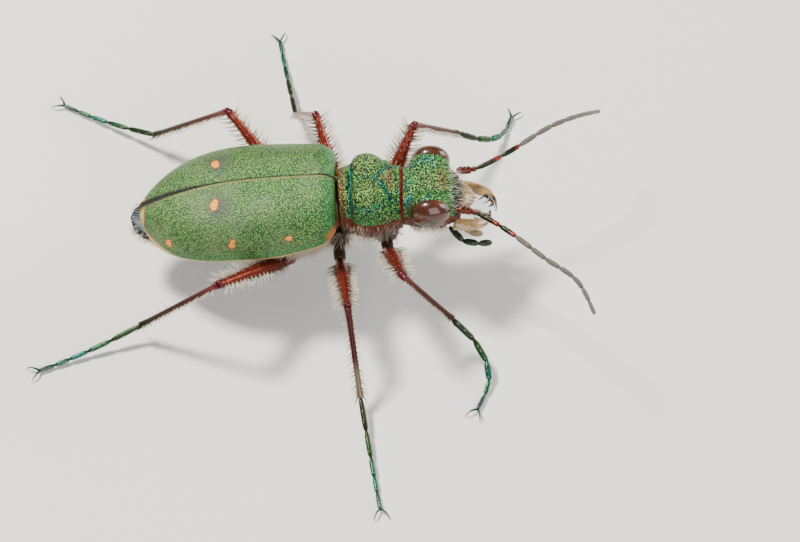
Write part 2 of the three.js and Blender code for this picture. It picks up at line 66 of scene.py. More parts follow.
EYE = {"centre": Vector((4.05, 1.33, 1.05)), "radii": Vector((0.82, 0.56, 0.76))}
EYE_SEAT = {"centre": Vector((4.0, 1.03, 0.95)), "radii": Vector((0.88, 0.64, 0.87))}
ACROSS = 3.7  # length of the wing case surface from the seam to its edge
ROLLED_SHARE = 0.88  # of the way across a wing case: the rest rolls under its edge
SECTION_POWER = 2.3  # of the rounded outline of a section, where 2 is an ellipse
ROOT_POWER = 0.87
SOFTENING_PASSES = 9

# Rows and columns of the finer meshes
GRIDS = {
    "elytron": (170, 100), "scutellum": (24, 20), "pronotum": (150, 180), "neck": (16, 70),
    "head": (150, 190), "eye": (56, 80), "labrum": (50, 90), "coxa": (24, 32),
    "chest": (50, 90), "belly": (130, 110), "tail": (50, 90),
}

# Camera: the photograph is 800 x 542, with 24 pixels to a millimetre
CAMERA_ELEVATION = radians(57)
CAMERA_LENS = 200
CAMERA_DISTANCE = 185
CAMERA_TARGET = Vector((2.71, -3.24, 4.0))


def mix(a, b, t):
    return a + (b - a) * t


def clamp(value, low=0.0, high=1.0):
    return max(low, min(high, value))


def bump(value, centre, width):
    return exp(-(((value - centre) / width) ** 2))


def smooth(low, high, value):
    t = clamp((value - low) / (high - low))
    return t * t * (3 - 2 * t)


def node_centre(node):
    low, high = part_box(node)
    return (Vector(low) + Vector(high)) / (2 * MM)


# The standing frame of the legs is shifted so that the origin is under the middle of the outline
PITCH = Matrix.Rotation(-TRUNK_PITCH, 4, "Y")
EYES_MIDDLE = (node_centre("eye_left") + node_centre("eye_right")) / 2
EYES_IN_TRUNK = PITCH @ Vector((EYE["centre"].x, 0, EYE["centre"].z))
SHIFT = Vector((EYES_MIDDLE.x - EYES_IN_TRUNK.x, EYES_MIDDLE.y, 0))
TRUNK = Matrix.Translation(SHIFT + Vector((0, 0, TRUNK_HEIGHT))) @ PITCH


def on_trunk(x, y, z):
    return TRUNK @ Vector((x, y, z))


def on_floor(x, y, z):
    return Vector((x, y, z)) + SHIFT


def add_to_scene(name, data):
    made = bpy.data.objects.new(name, data)
    bpy.context.scene.collection.objects.link(made)
    return made


class Skin:
    """Collects points, faces and marks, then makes one mesh object in metres."""

    def __init__(self, *marks):
        self.points = []
        self.faces = []
        self.plan = []
        self.marks = {name: [] for name in marks}

    def vertex(self, point, plan, **marks):
        self.points.append(Vector(point))
        self.plan.append(plan)
        for name, values in self.marks.items():
            values.append(marks.get(name, 0.0))
        return len(self.points) - 1

    def grid(self, rows, cols, place, closed=False):
        """place(i, j) takes shares from 0 to 1 and gives a point, its plan and its marks.

        A closed grid joins its last column to its first, and has a cap at each end."""
        count = cols if closed else cols + 1
        index = []
        for i in range(rows + 1):
            line = []
            for j in range(count):
                point, plan, marks = place(i / rows, j / cols)
                line.append(self.vertex(point, plan, **marks))
            index.append(line)
        for i in range(rows):
            for j in range(cols):
                k = (j + 1) % count
                self.faces.append((index[i][j], index[i][k], index[i + 1][k], index[i + 1][j]))
        if closed:
            self.cap(index[0], True)
            self.cap(index[-1], False)

    def cap(self, ring, flip):
        middle = sum((self.points[i] for i in ring), Vector()) / len(ring)
        marks = {name: values[ring[0]] for name, values in self.marks.items()}
        centre = self.vertex(middle, self.plan[ring[0]], **marks)
        for a, b in zip(ring, ring[1:] + ring[:1]):
            self.faces.append((centre, b, a) if flip else (centre, a, b))

    def object(self, name, slot, shell=0.0, flip=False):
        """The finer mesh that stands in for the node called name."""
        made = self.build(f"{name}_shell", name, MATERIALS[slot], "Shell", flip)
        if shell:
            solid = made.modifiers.new("shell", "SOLIDIFY")
            solid.thickness = shell * MM
            solid.offset = -1
        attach(made, "root")
        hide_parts(name)

    def build(self, name, mesh_name, material, plan_name, flip=False):
        mesh = bpy.data.meshes.new(mesh_name)
        faces = [tuple(reversed(f)) for f in self.faces] if flip else self.faces
        mesh.from_pydata([p * MM for p in self.points], [], faces)
        mesh.shade_smooth()
        layer = mesh.uv_layers.new(name=plan_name)
        for loop in mesh.loops:
            layer.data[loop.index].uv = self.plan[loop.vertex_index]
        for mark, values in self.marks.items():
            mesh.attributes.new(mark, "FLOAT", "POINT").data.foreach_set("value", values)
        mesh.materials.append(material)
        return add_to_scene(name, mesh)


# Materials. The colours of a mix node are three of its many sockets.
MIX_SHARE, MIX_FIRST, MIX_SECOND, MIX_RESULT = 0, 6, 7, 2


class Shader:
    """Wires the nodes of one material and keeps it under its name."""

    def __init__(self, name, **sockets):
        material = bpy.data.materials.new(name)
        material.use_nodes = True
        MATERIALS[name] = material
        self.tree = material.node_tree
        self.surface = self.tree.nodes["Principled BSDF"].inputs
        for socket, value in sockets.items():
            self.surface[socket.replace("_", " ")].default_value = value

    def feed(self, socket, value):
        if isinstance(value, bpy.types.NodeSocket):
            self.tree.links.new(value, socket)
        else:
            socket.default_value = value

    def add(self, kind, output, inputs=None, **settings):
        """A new node with its inputs linked or set. Returns one of its outputs."""
        made = self.tree.nodes.new(kind)
        for key, value in settings.items():
            setattr(made, key, value)
        for socket, value in (inputs or {}).items():
            self.feed(made.inputs[socket], value)
        return made.outputs[output]

    def texture(self, kind, output, per_mm, **inputs):
        place = self.add("ShaderNodeTexCoord", "Object")
        return self.add(kind, output, {"Scale": per_mm / MM, "Vector": place, **inputs})

    def noise(self, per_mm, detail=4.0, roughness=0.6):
        return self.texture("ShaderNodeTexNoise", "Fac", per_mm, Detail=detail, Roughness=roughness)

    def cells(self, per_mm):
        return self.texture("ShaderNodeTexVoronoi", "Distance", per_mm)

    def mark(self, name):
        return self.add("ShaderNodeAttribute", "Fac", attribute_name=name)

    def math(self, operation, *values):
        return self.add("ShaderNodeMath", "Value", dict(enumerate(values)), operation=operation)

    def vector(self, operation, *values, output="Vector"):
        return self.add("ShaderNodeVectorMath", output, dict(enumerate(values)), operation=operation)

    def ramp(self, value, stops):
        made = self.tree.nodes.new("ShaderNodeValToRGB")
        elements = made.color_ramp.elements
        while len(elements) < len(stops):
            elements.new(0.5)
        for element, (position, colour) in zip(elements, stops):
            element.position = position
            element.color = (*colour, 1)
        self.feed(made.inputs["Fac"], value)
        return made.outputs["Color"]

    def mottle(self, grain, dark, light, low=0.3, high=0.7):
        return self.ramp(grain, [(low, dark), (high, light)])

    def uneven(self, mark, grain, amount):
        """Adds a grain around 0.5 to the mark of that name, so that its edge breaks up."""
        shifted = self.math("SUBTRACT", grain, 0.5)
        return self.math("ADD", self.mark(mark), self.math("MULTIPLY", shifted, amount))

    def remap(self, value, low, high):
        """0 at low, 1 at high and smooth between them."""
        inputs = {"From Min": low, "From Max": high, "Value": value}
        return self.add("ShaderNodeMapRange", "Result", inputs, interpolation_type="SMOOTHSTEP")

    def blend(self, share, first, second):
        if isinstance(second, tuple):
            second = (*second, 1)
        inputs = {MIX_SHARE: share, MIX_FIRST: first, MIX_SECOND: second}
        return self.add("ShaderNodeMix", MIX_RESULT, inputs, data_type="RGBA")

    def layers(self, base, *rows):
        """Blends colours over the base in turn, each as a value, or the mark of that name, goes from low
        to high, and by an amount where one is given."""
        for value, low, high, colour, *amount in rows:
            if isinstance(value, str):
                value = self.mark(value)
            share = self.remap(value, low, high)
            if amount:
                share = self.math("MULTIPLY", share, amount[0])
            base = self.blend(share, base, colour)
        return base

    def colour(self, base, *rows):
        self.feed(self.surface["Base Color"], self.layers(base, *rows))

    def roughen(self, grain, scale, least):
        self.feed(self.surface["Roughness"], self.math("MULTIPLY_ADD", grain, scale, least))

    def relief(self, height, depth_mm, strength=1.0):
        inputs = {"Strength": strength, "Distance": depth_mm * MM, "Height": height}
        before = self.surface["Normal"].links
        if before:
            inputs["Normal"] = before[0].from_socket
        self.feed(self.surface["Normal"], self.add("ShaderNodeBump", "Normal", inputs))


SPECK = (0.30, 0.47, 0.06)
LEAF = (0.07, 0.19, 0.035)
PIT = (0.007, 0.045, 0.010)
# a grey sheen painted in broad random patches on the wing case
PAINTED_SHEEN = (0.19, 0.23, 0.12)
CREAM = (0.72, 0.29, 0.035)
PALE_BAND = (0.52, 0.40, 0.11)
OUTLINE = (0.22, 0.07, 0.015)
SHOULDER_ORANGE = (0.36, 0.10, 0.015)
# colour of a cast shadow painted on the wing case
PAINTED_SHADOW = (0.045, 0.05, 0.045)
SEAM_GOLD = (0.15, 0.145, 0.045)
SEAM_DARK = (0.008, 0.010, 0.005)

WOBBLE = 0.14  # how far the outline of a mark wanders

# Pale marks of a wing case: place along it from the front and across it from the seam, in shares, then
# half sizes in millimetres, and the colour
PALE_MARKS = [
    ((0.012, 0.93), (0.26, 0.36), SHOULDER_ORANGE),
    ((0.227, 0.745), (0.14, 0.11), CREAM),
    ((0.513, 0.70), (0.09, 0.10), CREAM),
    ((0.520, 0.755), (0.13, 0.13), CREAM),
    ((0.602, 0.238), (0.155, 0.17), CREAM),
    ((0.596, 0.20), (0.11, 0.12), CREAM),
    ((0.845, 0.76), (0.11, 0.26), CREAM),
]


def spot(shader, where, along, across, half_sizes, soft):
    """1 inside an ellipse on the shell's plan, 0 outside."""
    shift = shader.vector("SUBTRACT", where, (along, across, 0))
    share = shader.vector("DIVIDE", shift, (*half_sizes, 1))
    return shader.remap(shader.vector("LENGTH", share, output="Value"), 1 + soft, 1 - soft)


def elytra_material():
    shader = Shader("elytra_green", Metallic=0.4)
    plan = shader.add("ShaderNodeUVMap", "UV", uv_map="Shell")
    wobble = shader.add("ShaderNodeTexNoise", "Color", {"Scale": 5, "Vector": plan})
    where = shader.vector("MULTIPLY_ADD", wobble, (WOBBLE, WOBBLE, 0), plan)

    grains = shader.cells(14)
    fine = shader.noise(22, 3, 0.7)
    green = shader.layers(
        shader.ramp(grains, [(0.10, SPECK), (0.32, LEAF), (0.62, PIT)]),
        (fine, 0.60, 0.72, SPECK),
        (fine, 0.42, 0.32, PIT),
        # painted sheen: broad grey-green patches at random
        (shader.noise(0.45, 3), 0.38, 0.64, PAINTED_SHEEN, 0.24),
        ("rim", 0.0, 0.9, shader.mottle(grains, (0.07, 0.40, 0.07), (0.004, 0.07, 0.02), 0.1, 0.6), 0.65),
    )
    # a cast shadow painted as a soft dark patch across the middle of the wing case
    painted_shadow = spot(shader, where, 0.588 * ELYTRA["length"], 0.27 * ACROSS, (0.42, 0.50), 0.8)
    green = shader.blend(shader.math("MULTIPLY", painted_shadow, 0.8), green, PAINTED_SHADOW)
    marks = []
    for (along, across), sizes, colour in PALE_MARKS:
        place = (along * ELYTRA["length"] + WOBBLE / 2, across * ACROSS + WOBBLE / 2)
        around = spot(shader, where, *place, [size + 0.05 for size in sizes], 0.2)
        green = shader.blend(around, green, OUTLINE)
        marks.append((spot(shader, where, *place, sizes, 0.2), colour))
    for inside, colour in marks:
        green = shader.blend(inside, green, colour)
    shader.colour(
        green,
        ("outer", 1.35, 1.15, OUTLINE),
        ("outer", 1.1, 0.9, PALE_BAND),
        ("ridge", 0.3, 0.8, SEAM_GOLD),
        ("seam", 0.3, 0.7, SEAM_DARK),
    )
    shader.relief(grains, 0.03, 0.8)
    shader.relief(fine, 0.012, 0.6)
    shader.roughen(fine, 0.3, 0.34)


# Rounded grains in their own hue, with painted light and shade: light on the crown, darker down the flank,
# nearly black in the gap
GREEN_BEADS = [(0.08, (0.34, 0.84, 0.10)), (0.34, (0.025, 0.21, 0.035)), (0.62, (0.0, 0.018, 0.012))]
GOLD_BEADS = [(0.08, (0.64, 0.74, 0.26)), (0.34, (0.15, 0.24, 0.06)), (0.62, (0.010, 0.026, 0.010))]
TEAL_BEADS = [(0.08, (0.06, 0.50, 0.24)), (0.34, (0.0, 0.16, 0.13)), (0.62, (0.0, 0.016, 0.04))]
BRONZE_BEADS = [(0.08, (0.72, 0.50, 0.18)), (0.34, (0.22, 0.16, 0.05)), (0.62, (0.03, 0.025, 0.01))]


def thorax_shield_material(name):
    """Metallic green with blue grooves, golden ridges, copper sides and painted shade underneath, by the
    marks on the mesh.
    """
    shader = Shader(name, Metallic=0.7)
    wrinkles = shader.noise(9, 5, 0.7)
    beads = shader.cells(13.5)
    broad = shader.noise(1.1, 3)
    teal = shader.ramp(beads, TEAL_BEADS)
    lobe = shader.math("MULTIPLY", shader.mark("lobe"), 0.6)
    patches = shader.math("MULTIPLY", shader.remap(broad, 0.52, 0.66), 0.6)
    golden = shader.math("MAXIMUM", lobe, patches)
    shader.colour(
        shader.blend(golden, shader.ramp(beads, GREEN_BEADS), shader.ramp(beads, GOLD_BEADS)),
        (broad, 0.42, 0.32, teal, 0.5),
        (shader.uneven("groove", wrinkles, 0.8), 0.25, 0.85, teal),
        (shader.uneven("gold", wrinkles, 0.7), 0.3, 1.0, shader.ramp(beads, BRONZE_BEADS), 0.7),
        (shader.noise(19, 3, 0.7), 0.58, 0.72, (0.68, 0.72, 0.22)),
        (shader.uneven("side", wrinkles, 0.6), 0.35, 0.75,
         shader.mottle(wrinkles, (0.035, 0.008, 0.005), (0.19, 0.04, 0.016), 0.35, 0.65)),
        # painted shade on the underside of shield and head, and a darker front face on the head
        ("dark", 0.2, 0.9, (0.008, 0.014, 0.010)),
    )
    shader.relief(beads, 0.05, 0.8)
    shader.relief(wrinkles, 0.05, 0.6)
    shader.roughen(wrinkles, 0.35, 0.2)


def bronze_material(name, dark, light, roughness=0.3, metallic=0.7):
    shader = Shader(name, Metallic=metallic, Roughness=roughness)
    shader.colour(shader.mottle(shader.noise(7, 4), dark, light))
    shader.relief(shader.cells(14), 0.02, 0.45)


LIMB_HUES = [
    (0.0, (0.05, 0.018, 0.010)),
    (0.10, (0.085, 0.017, 0.010)),
    (0.20, (0.18, 0.024, 0.012)),
    (0.30, (0.19, 0.025, 0.014)),
    (0.38, (0.055, 0.009, 0.006)),
    (0.48, (0.03, 0.013, 0.006)),
    (0.56, (0.008, 0.014, 0.004)),
    (0.68, (0.010, 0.045, 0.008)),
    (0.78, (0.006, 0.085, 0.065)),
    (0.88, (0.010, 0.07, 0.025)),
    (1.0, (0.035, 0.05, 0.075)),
]


def limb_material(name):
    """Copper at the body, green and then blue towards the claws, by the mark called hue."""
    shader = Shader(name, Metallic=0.7, Roughness=0.3)
    shader.colour(
        shader.ramp(shader.uneven("hue", shader.noise(8, 4), 0.08), LIMB_HUES),
        ("knee", 0.3, 1.0, (0.09, 0.013, 0.018)),
        # painted highlight: a pale wash down the lower part of the middle tibiae
        ("painted_highlight", 0.2, 1.0, (0.26, 0.22, 0.14)),
    )
    shader.relief(shader.cells(14), 0.02, 0.4)


def horn_material(name, dark, light, roughness):
    shader = Shader(name, Roughness=roughness)
    shader.colour(shader.mottle(shader.noise(5, 4), dark, light))
    shader.relief(shader.noise(15, 3), 0.012, 0.4)


def eye_material():
    shader = Shader("eye_brown", Roughness=0.34, Specular_IOR_Level=0.2,
                    Coat_Weight=0.8, Coat_Roughness=0.03)
    bands = shader.noise(1.6, 2)
    bands = shader.mottle(bands, (0.024, 0.006, 0.003), (0.075, 0.019, 0.006), 0.35, 0.65)
    # painted shade on the lower part of the eye
    shader.colour(bands, ("low", 0.2, 0.9, (0.016, 0.006, 0.004)))
    shader.relief(shader.cells(30), 0.006, 0.35)


def jaw_material():
    shader = Shader("mandible_ivory", Roughness=0.25, Coat_Weight=0.5)
    ivory = shader.mottle(shader.noise(6, 3), (0.24, 0.13, 0.045), (0.44, 0.30, 0.13))
    shader.colour(
        ivory,
        ("dark", 0.25, 0.5, (0.16, 0.06, 0.02)),
        ("dark", 0.45, 0.75, (0.012, 0.014, 0.012)),
    )


def labrum_material():
    shader = Shader("labrum_cream", Roughness=0.28, Coat_Weight=0.4,
                    Subsurface_Weight=0.15, Subsurface_Scale=0.2 * MM)
    cream = shader.mottle(shader.noise(4, 3), (0.15, 0.085, 0.03), (0.34, 0.22, 0.09))
    shader.colour(cream, ("dark", 0.3, 0.8, (0.10, 0.05, 0.02)))


def hair_material(name, root, tip):
    shader = Shader(name, Roughness=0.35, Specular_IOR_Level=0.6)
    shader.colour(shader.mottle(shader.mark("along"), root, tip, 0.0, 0.5))


def feeler_material():
    shader = Shader("antenna_grey", Roughness=0.6)
    down = shader.noise(40, 2)
    base = shader.mottle(down, (0.03, 0.022, 0.018), (0.12, 0.095, 0.075), 0.35, 0.65)
    shader.colour(base, ("joint", 0.5, 1.0, (0.03, 0.02, 0.015)))
    shader.relief(down, 0.012, 0.7)


def make_materials():
    elytra_material()
    thorax_shield_material("pronotum_green")
    thorax_shield_material("head_green")
    bronze_material("scutellum_bronze", (0.10, 0.05, 0.02), (0.34, 0.13, 0.05))
    bronze_material("abdomen_blue", (0.003, 0.007, 0.012), (0.008, 0.03, 0.04), 0.45, 0.4)
    bronze_material("thorax_bronze", (0.015, 0.05, 0.02), (0.14, 0.04, 0.015))
    bronze_material("coxa_bronze", (0.012, 0.010, 0.006), (0.05, 0.018, 0.01), 0.5, 0.4)
    bronze_material("palp_dark", (0.010, 0.018, 0.010), (0.035, 0.06, 0.03), 0.28)
    horn_material("palp_pale", (0.18, 0.11, 0.045), (0.34, 0.24, 0.11), 0.3)
    for name in ("leg_copper", "foot_green", "antenna_metallic"):
        limb_material(name)
    feeler_material()
    eye_material()
    labrum_material()
    jaw_material()
    hair_material("hair_white", (0.24, 0.19, 0.13), (0.56, 0.50, 0.40))
    hair_material("hair_tan", (0.22, 0.15, 0.09), (0.56, 0.47, 0.35))


# Wing cases
def elytra_half_width(s):
    rounding = 1 - clamp(s / SHOULDER_END)
    shoulder = mix(0.66, 1, sqrt(1 - rounding ** 2))
    widening = mix(0.86, 1, sin(pi / 2 * min(1, s / WIDEST)))
    narrowing = clamp((s - WIDEST) / (1 - WIDEST))
    tail = max(0.02, (1 - narrowing ** 2.6) ** 0.62)
    return ELYTRA["half_width"] * shoulder * widening * tail


def elytra_top(s):
    front = 0.35 * (1 - s / 0.06) ** 2 if s < 0.06 else 0
    return ELYTRA["rise"] * (1 - 0.9 * s ** 3) - front


def elytra_edge(s):
    lift = EPIPLEURON_LIFT * (1 - clamp(s / 0.35)) ** 1.5
    return lift - APEX_DROOP * clamp((s - 0.4) / 0.6) ** 1.6


def elytron_point(side, s, v):
    half = elytra_half_width(s)
    edge = elytra_edge(s)
    top = max(elytra_top(s), edge + 0.03)
    turn = clamp(v / ROLLED_SHARE)
    angle = pi / 2 * (1 - turn)
    y = half * cos(angle) ** (2 / SECTION_POWER) if turn > 0 else 0.0
    z = edge + (top - edge) * sin(angle) ** (2 / SECTION_POWER)
    if v > ROLLED_SHARE:
        under = (v - ROLLED_SHARE) / (1 - ROLLED_SHARE)
        y -= min(0.5, 0.5 * half) * under
        z -= 0.10 * sin(pi * min(1, under * 1.2))
    fade = 0.3 + 0.7 * smooth(0.02, 0.1, s)
    seam_groove = (0.07 * bump(y, 0, 0.05) - 0.02 * bump(y, 0.12, 0.06)) * fade
    y = max(y, 0.006 + 0.05 * smooth(0.75, 0.95, s))
    return Vector((-s * ELYTRA["length"], side * y, z - seam_groove))


def make_elytron(side, side_name):
    skin = Skin("rim", "seam", "ridge", "outer")

    def place(i, j):
        s = min(1 - (1 - i) ** 1.5, 0.9995)
        share = j * (0.3 + 0.7 * j)
        point = elytron_point(side, s, share)
        across = clamp(share / ROLLED_SHARE)
        side_distance = (1 - across) * ACROSS * elytra_half_width(s) / ELYTRA["half_width"]
        end_distance = (1 - s) * ELYTRA["length"] * (1 + 0.5 * across)
        band = mix(0.035, 0.25, smooth(0.80, 0.93, s))
        seam_width = mix(0.085, 0.13, smooth(0.5, 0.95, s))
        y = abs(point.y)
        marks = {
            "rim": max(smooth(0.80, 1.0, across), smooth(0.10, 0.0, s), smooth(0.90, 1.0, s)),
            "seam": clamp(1.5 - y / seam_width),
            "ridge": bump(y, seam_width + 0.03, 0.024) if side < 0 else 0.0,
            "outer": min(side_distance, end_distance) / band,
        }
        return TRUNK @ point, (s * ELYTRA["length"], across * ACROSS), marks

    skin.grid(*GRIDS["elytron"], place)
    skin.object(f"elytron_{side_name}", "elytra_green", ELYTRA["shell"], side > 0)


# Closed lofts along the trunk. section(t) gives where a cut lies, its half width, its top and bottom,
# the height of its axis, and how square its rounded outline is.
Section = namedtuple("Section", "x half top bottom z power", defaults=(SECTION_POWER,))


def section_height(part, s):
    return part.top - part.z if s > 0 else part.z - part.bottom


def section_reach(part, c, s):
    """Distance from the axis of a section to its outline, in the direction (c, s)."""
    side, height = abs(c / part.half), abs(s / section_height(part, s))
    return (side ** part.power + height ** part.power) ** (-1 / part.power)


def ball_reach(part, c, s, centre, radii):
    """Distance from the axis to the far side of a ball in the same direction, or 0."""
    girth = 1 - ((part.x - centre.x) / radii.x) ** 2
    if girth <= 0:
        return 0.0
    lift = centre.z - part.z
    a = (c / radii.y) ** 2 + (s / radii.z) ** 2
    b = c * centre.y / radii.y ** 2 + s * lift / radii.z ** 2
    rest = (centre.y / radii.y) ** 2 + (lift / radii.z) ** 2 - girth
    inside = b * b - a * rest
    return (b + sqrt(inside)) / a if inside > 0 else 0.0


def soften(table):
    """Blends each value with its neighbours around and along the loft."""
    for _ in range(SOFTENING_PASSES):
        around = [[(line[j - 1] + 2 * line[j] + line[(j + 1) % len(line)]) / 4 for j in range(len(line))]
                  for line in table]
        middle = [[(a + 2 * b + c) / 4 for a, b, c in zip(*lines)]
                  for lines in zip(around, around[1:], around[2:])]
        table = [around[0]] + middle + [around[-1]]
    return table


def add_loft(skin, name, section, ball=None, dent=None):
    """A pair of balls may swell the loft. dent(point, s) gives how far the skin sinks, and its marks."""
    rows, cols = GRIDS[name]
    centres = [ball["centre"] * Vector((1, side, 1)) for side in (-1, 1)] if ball else []
    table = []
    for i in range(rows + 1):
        part = section(i / rows)
        line = []
        for j in range(cols):
            c, s = cos(tau * j / cols), sin(tau * j / cols)
            swollen = [ball_reach(part, c, s, centre, ball["radii"]) for centre in centres]
            line.append(max([section_reach(part, c, s)] + swollen))
        table.append(line)
    if ball:
        table = soften(table)

    def place(i, j):
        part = section(i)
        c, s = cos(tau * j), sin(tau * j)
        reach = table[round(i * rows)][round(j * cols) % cols]
        point = Vector((part.x, reach * c, part.z + reach * s))
        marks = {}
        if dent:
            depth, marks = dent(point, s)
            point -= Vector((0, depth * c, depth * s))
        return TRUNK @ point, (i, j), marks

    skin.grid(rows, cols, place, closed=True)


def pronotum_section(t):
    rear, front = PRONOTUM["rear"], PRONOTUM["front"]
    disc = sin(pi * clamp((t - 0.08) / 0.86)) ** 0.7
    groove = 0.13 * (bump(t, 0.2, 0.055) + bump(t, 0.84, 0.06))
    rim = min(1, sqrt(min(t, 1 - t) / 0.02 + 0.5))
    return Section(
        x=mix(rear - 0.12, front + 0.1, t),
        half=PRONOTUM["half_width"] * (0.78 + 0.22 * disc - groove * 0.55) * rim,
        top=PRONOTUM["top"] - 0.24 + 0.24 * disc - groove * 1.2 - (1 - rim) * 0.4,
        bottom=mix(PRONOTUM["bottom"] + 0.1, PRONOTUM["bottom"] + 0.35, t) - 0.1 * disc,
        z=0.25,
        power=2.25,
    )


# Features of the shield along the trunk
BASAL_GROOVE = 0.74
V_POINT, V_SLOPE = 1.74, 0.84
FRONT_LIP = 2.66
LOBE_RADIUS = 0.74


def pronotum_dent(point, s):
    x, y = point.x, abs(point.y)
    upper = smooth(-0.1, 0.5, s)
    basal = bump(x, BASAL_GROOVE, 0.08)
    v_line = bump(x, V_POINT + V_SLOPE * y, 0.10)
    v_line *= smooth(1.15, 0.8, y) * smooth(0.0, 0.06, x - 1.5)
    median = bump(y, 0, 0.05) * smooth(0.7, 0.9, x) * smooth(1.9, 1.7, x)
    lip = bump(x, FRONT_LIP, 0.035)
    from_lobe = hypot(x - LOBE["centre"].x, y - LOBE["centre"].y) / LOBE_RADIUS
    ring = bump(from_lobe, 1.0, 0.13) * smooth(-0.1, 0.35, s)
    wrinkle = sin(46 * x + 5 * sin(6 * point.y)) * smooth(0.8, 1.0, x)
    depth = 0.10 * basal + 0.12 * v_line + 0.05 * median + 0.05 * lip + 0.008 * wrinkle
    before_v = smooth(0.0, 0.15, x - V_POINT - 0.12 - V_SLOPE * y)
    triangle = before_v * smooth(FRONT_LIP, 2.5, x) * smooth(0.9, 0.5, y)
    collar = smooth(0.62, 0.45, x)
    flank = smooth(0.36, 0.12, s) + smooth(0.55, 0.3, s) * smooth(0.9, 0.5, x)
    edge = max(smooth(2.72, 2.8, x), collar * 0.55)
    marks = {
        "groove": clamp(max(basal, v_line, median * 0.5, ring * 0.6 * smooth(0.75, 1.1, y)) * upper),
        "gold": clamp(max(triangle, collar * 0.7) * upper),
        "side": clamp(max(flank, edge)),
        "lobe": smooth(1.0, 0.75, from_lobe) * upper,
        # painted shade on the underside of the shield
        "dark": 0.75 * smooth(-0.05, -0.35, s),
    }
    return depth * upper, marks


def head_section(t):
    fall = clamp((t - 0.6) / 0.4)
    rise = sqrt(clamp(t / 0.3))
    ends = sqrt(clamp((1 - t) / 0.04, 0.3, 1))
    return Section(
        x=mix(HEAD["rear"] - 0.16, HEAD["front"], t),
        half=HEAD["half_width"] * (1.04 + 0.1 * sin(pi * t) - 0.34 * fall ** 1.6) * ends,
        top=mix(HEAD["top"] - 0.2, HEAD["top"], rise) - 0.9 * fall ** 2.2,
        bottom=mix(HEAD["bottom"], HEAD["bottom"] + 0.1, t) - 0.12 * sin(pi * t),
        z=mix(0.45, 0.1, t),
    )


def head_dent(point, s):
    x, y = point.x, abs(point.y)
    upper = smooth(0.1, 0.6, s)
    furrowed = smooth(0.3, 0.6, y) * smooth(1.3, 1.0, y) * smooth(3.2, 3.6, x)
    furrows = 0.010 * sin(y * 62) * furrowed
    brow = 0.05 * bump(x, 4.72 + 0.1 * y, 0.06) * smooth(1.0, 0.5, y)
    saddle = 0.09 * bump(x, 4.0, 0.5) * bump(y, 0.0, 0.5)
    temple = 0.05 * bump(y, 0.62, 0.12) * bump(x, 3.5, 0.35)
    from_eye = point - EYE["centre"]
    rim = hypot(from_eye.x / EYE["radii"].x, from_eye.z / EYE["radii"].z)
    around = bump(rim, 1.08, 0.10) * smooth(0.8, 1.1, y)
    under = smooth(0.2, -0.1, s)
    marks = {
        "groove": clamp(max(bump(x, 3.15, 0.22) * bump(y, 0.95, 0.3), temple * 8) * upper),
        "gold": clamp(max(bump(x, 4.55, 0.35) * bump(y, 0.2, 0.5), around * 0.8) * upper),
        "side": clamp(max(under, smooth(0.35, 0.0, s) * smooth(0.7, 1.0, y), smooth(2.98, 2.9, x))),
        "lobe": clamp(bump(x, 3.9, 0.5) * bump(y, 0.25, 0.4) * upper),
        # a darker front face, and painted shade on the underside of the head
        "dark": max(smooth(4.88, 5.12, x) * smooth(-0.3, 0.2, s), 0.75 * smooth(-0.1, -0.4, s)),
    }
    return (furrows + brow + saddle + temple) * upper, marks


def body_section(t):
    s = mix(0, BODY_END, t)
    inset = ELYTRA["shell"] + 0.16
    end = sqrt(1 - clamp((s - 0.8) / 0.2) ** 2)
    front = mix(0.72, 1, sqrt(clamp(s / 0.12)))
    z = min(elytra_edge(s) * 0.3, elytra_edge(s))
    rising = mix(1, 0.72, smooth(0.6, BODY_END, s))
    return Section(
        x=-s * ELYTRA["length"],
        half=max(0.1, elytra_half_width(s) - inset - 0.3) * front,
        top=max(z + 0.1, elytra_top(s) - inset - 0.1),
        bottom=-BELLY_DEPTH * mix(0.75, 1, end) * mix(0.9, 1, front) * rising,
        z=z,
    )


PLATE_EDGES = [0.36, 0.48, 0.6, 0.72, 0.83]  # rear edges of the belly plates, as shares of the wing case


def belly_dent(point, s):
    share = -point.x / ELYTRA["length"]
    low = smooth(0.3, -0.2, s)
    step = sum(0.07 * smooth(edge - 0.09, edge - 0.005, share) * smooth(edge + 0.006, edge, share)
               for edge in PLATE_EDGES)
    return -step * low, {}


def tail_section(t):
    return Section(
        x=mix(-0.72, -1, t) * ELYTRA["length"] - ABDOMEN_TAIL * t,
        half=1.42 * sqrt(max(0.004, 1 - t ** 2.4)),
        top=mix(-0.35, -0.45, t),
        bottom=mix(-1.35, -1.0, t),
        z=mix(-0.8, -0.72, t),
        power=2.2,
    )


def neck_section(t):
    return Section(
        x=mix(-0.9, PRONOTUM["rear"] + 0.1, t),
        half=mix(1.3, 0.95, t),
        top=mix(1.25, 1.1, t),
        bottom=mix(-1.3, -1.0, t),
        z=0.1,
    )


def make_trunk():
    for side, side_name in SIDES:
        make_elytron(side, side_name)
    pronotum = Skin("groove", "gold", "side", "lobe", "dark")
    add_loft(pronotum, "pronotum", pronotum_section, LOBE, pronotum_dent)
    pronotum.object("pronotum", "pronotum_green", flip=True)
    head = Skin("groove", "gold", "side", "lobe", "dark")
    add_loft(head, "head", head_section, EYE_SEAT, head_dent)
    head.object("head", "head_green", flip=True)

    waist = CHEST_LENGTH / ELYTRA["length"] / BODY_END
    chest = Skin()
    add_loft(chest, "chest", lambda t: body_section(t * waist))
    add_loft(chest, "neck", neck_section)
    chest.object("thorax", "thorax_bronze", flip=True)
    belly = Skin()
    add_loft(belly, "belly", lambda t: body_section(mix(waist, 1, t)), dent=belly_dent)
    add_loft(belly, "tail", tail_section)
    belly.object("abdomen", "abdomen_blue", flip=True)


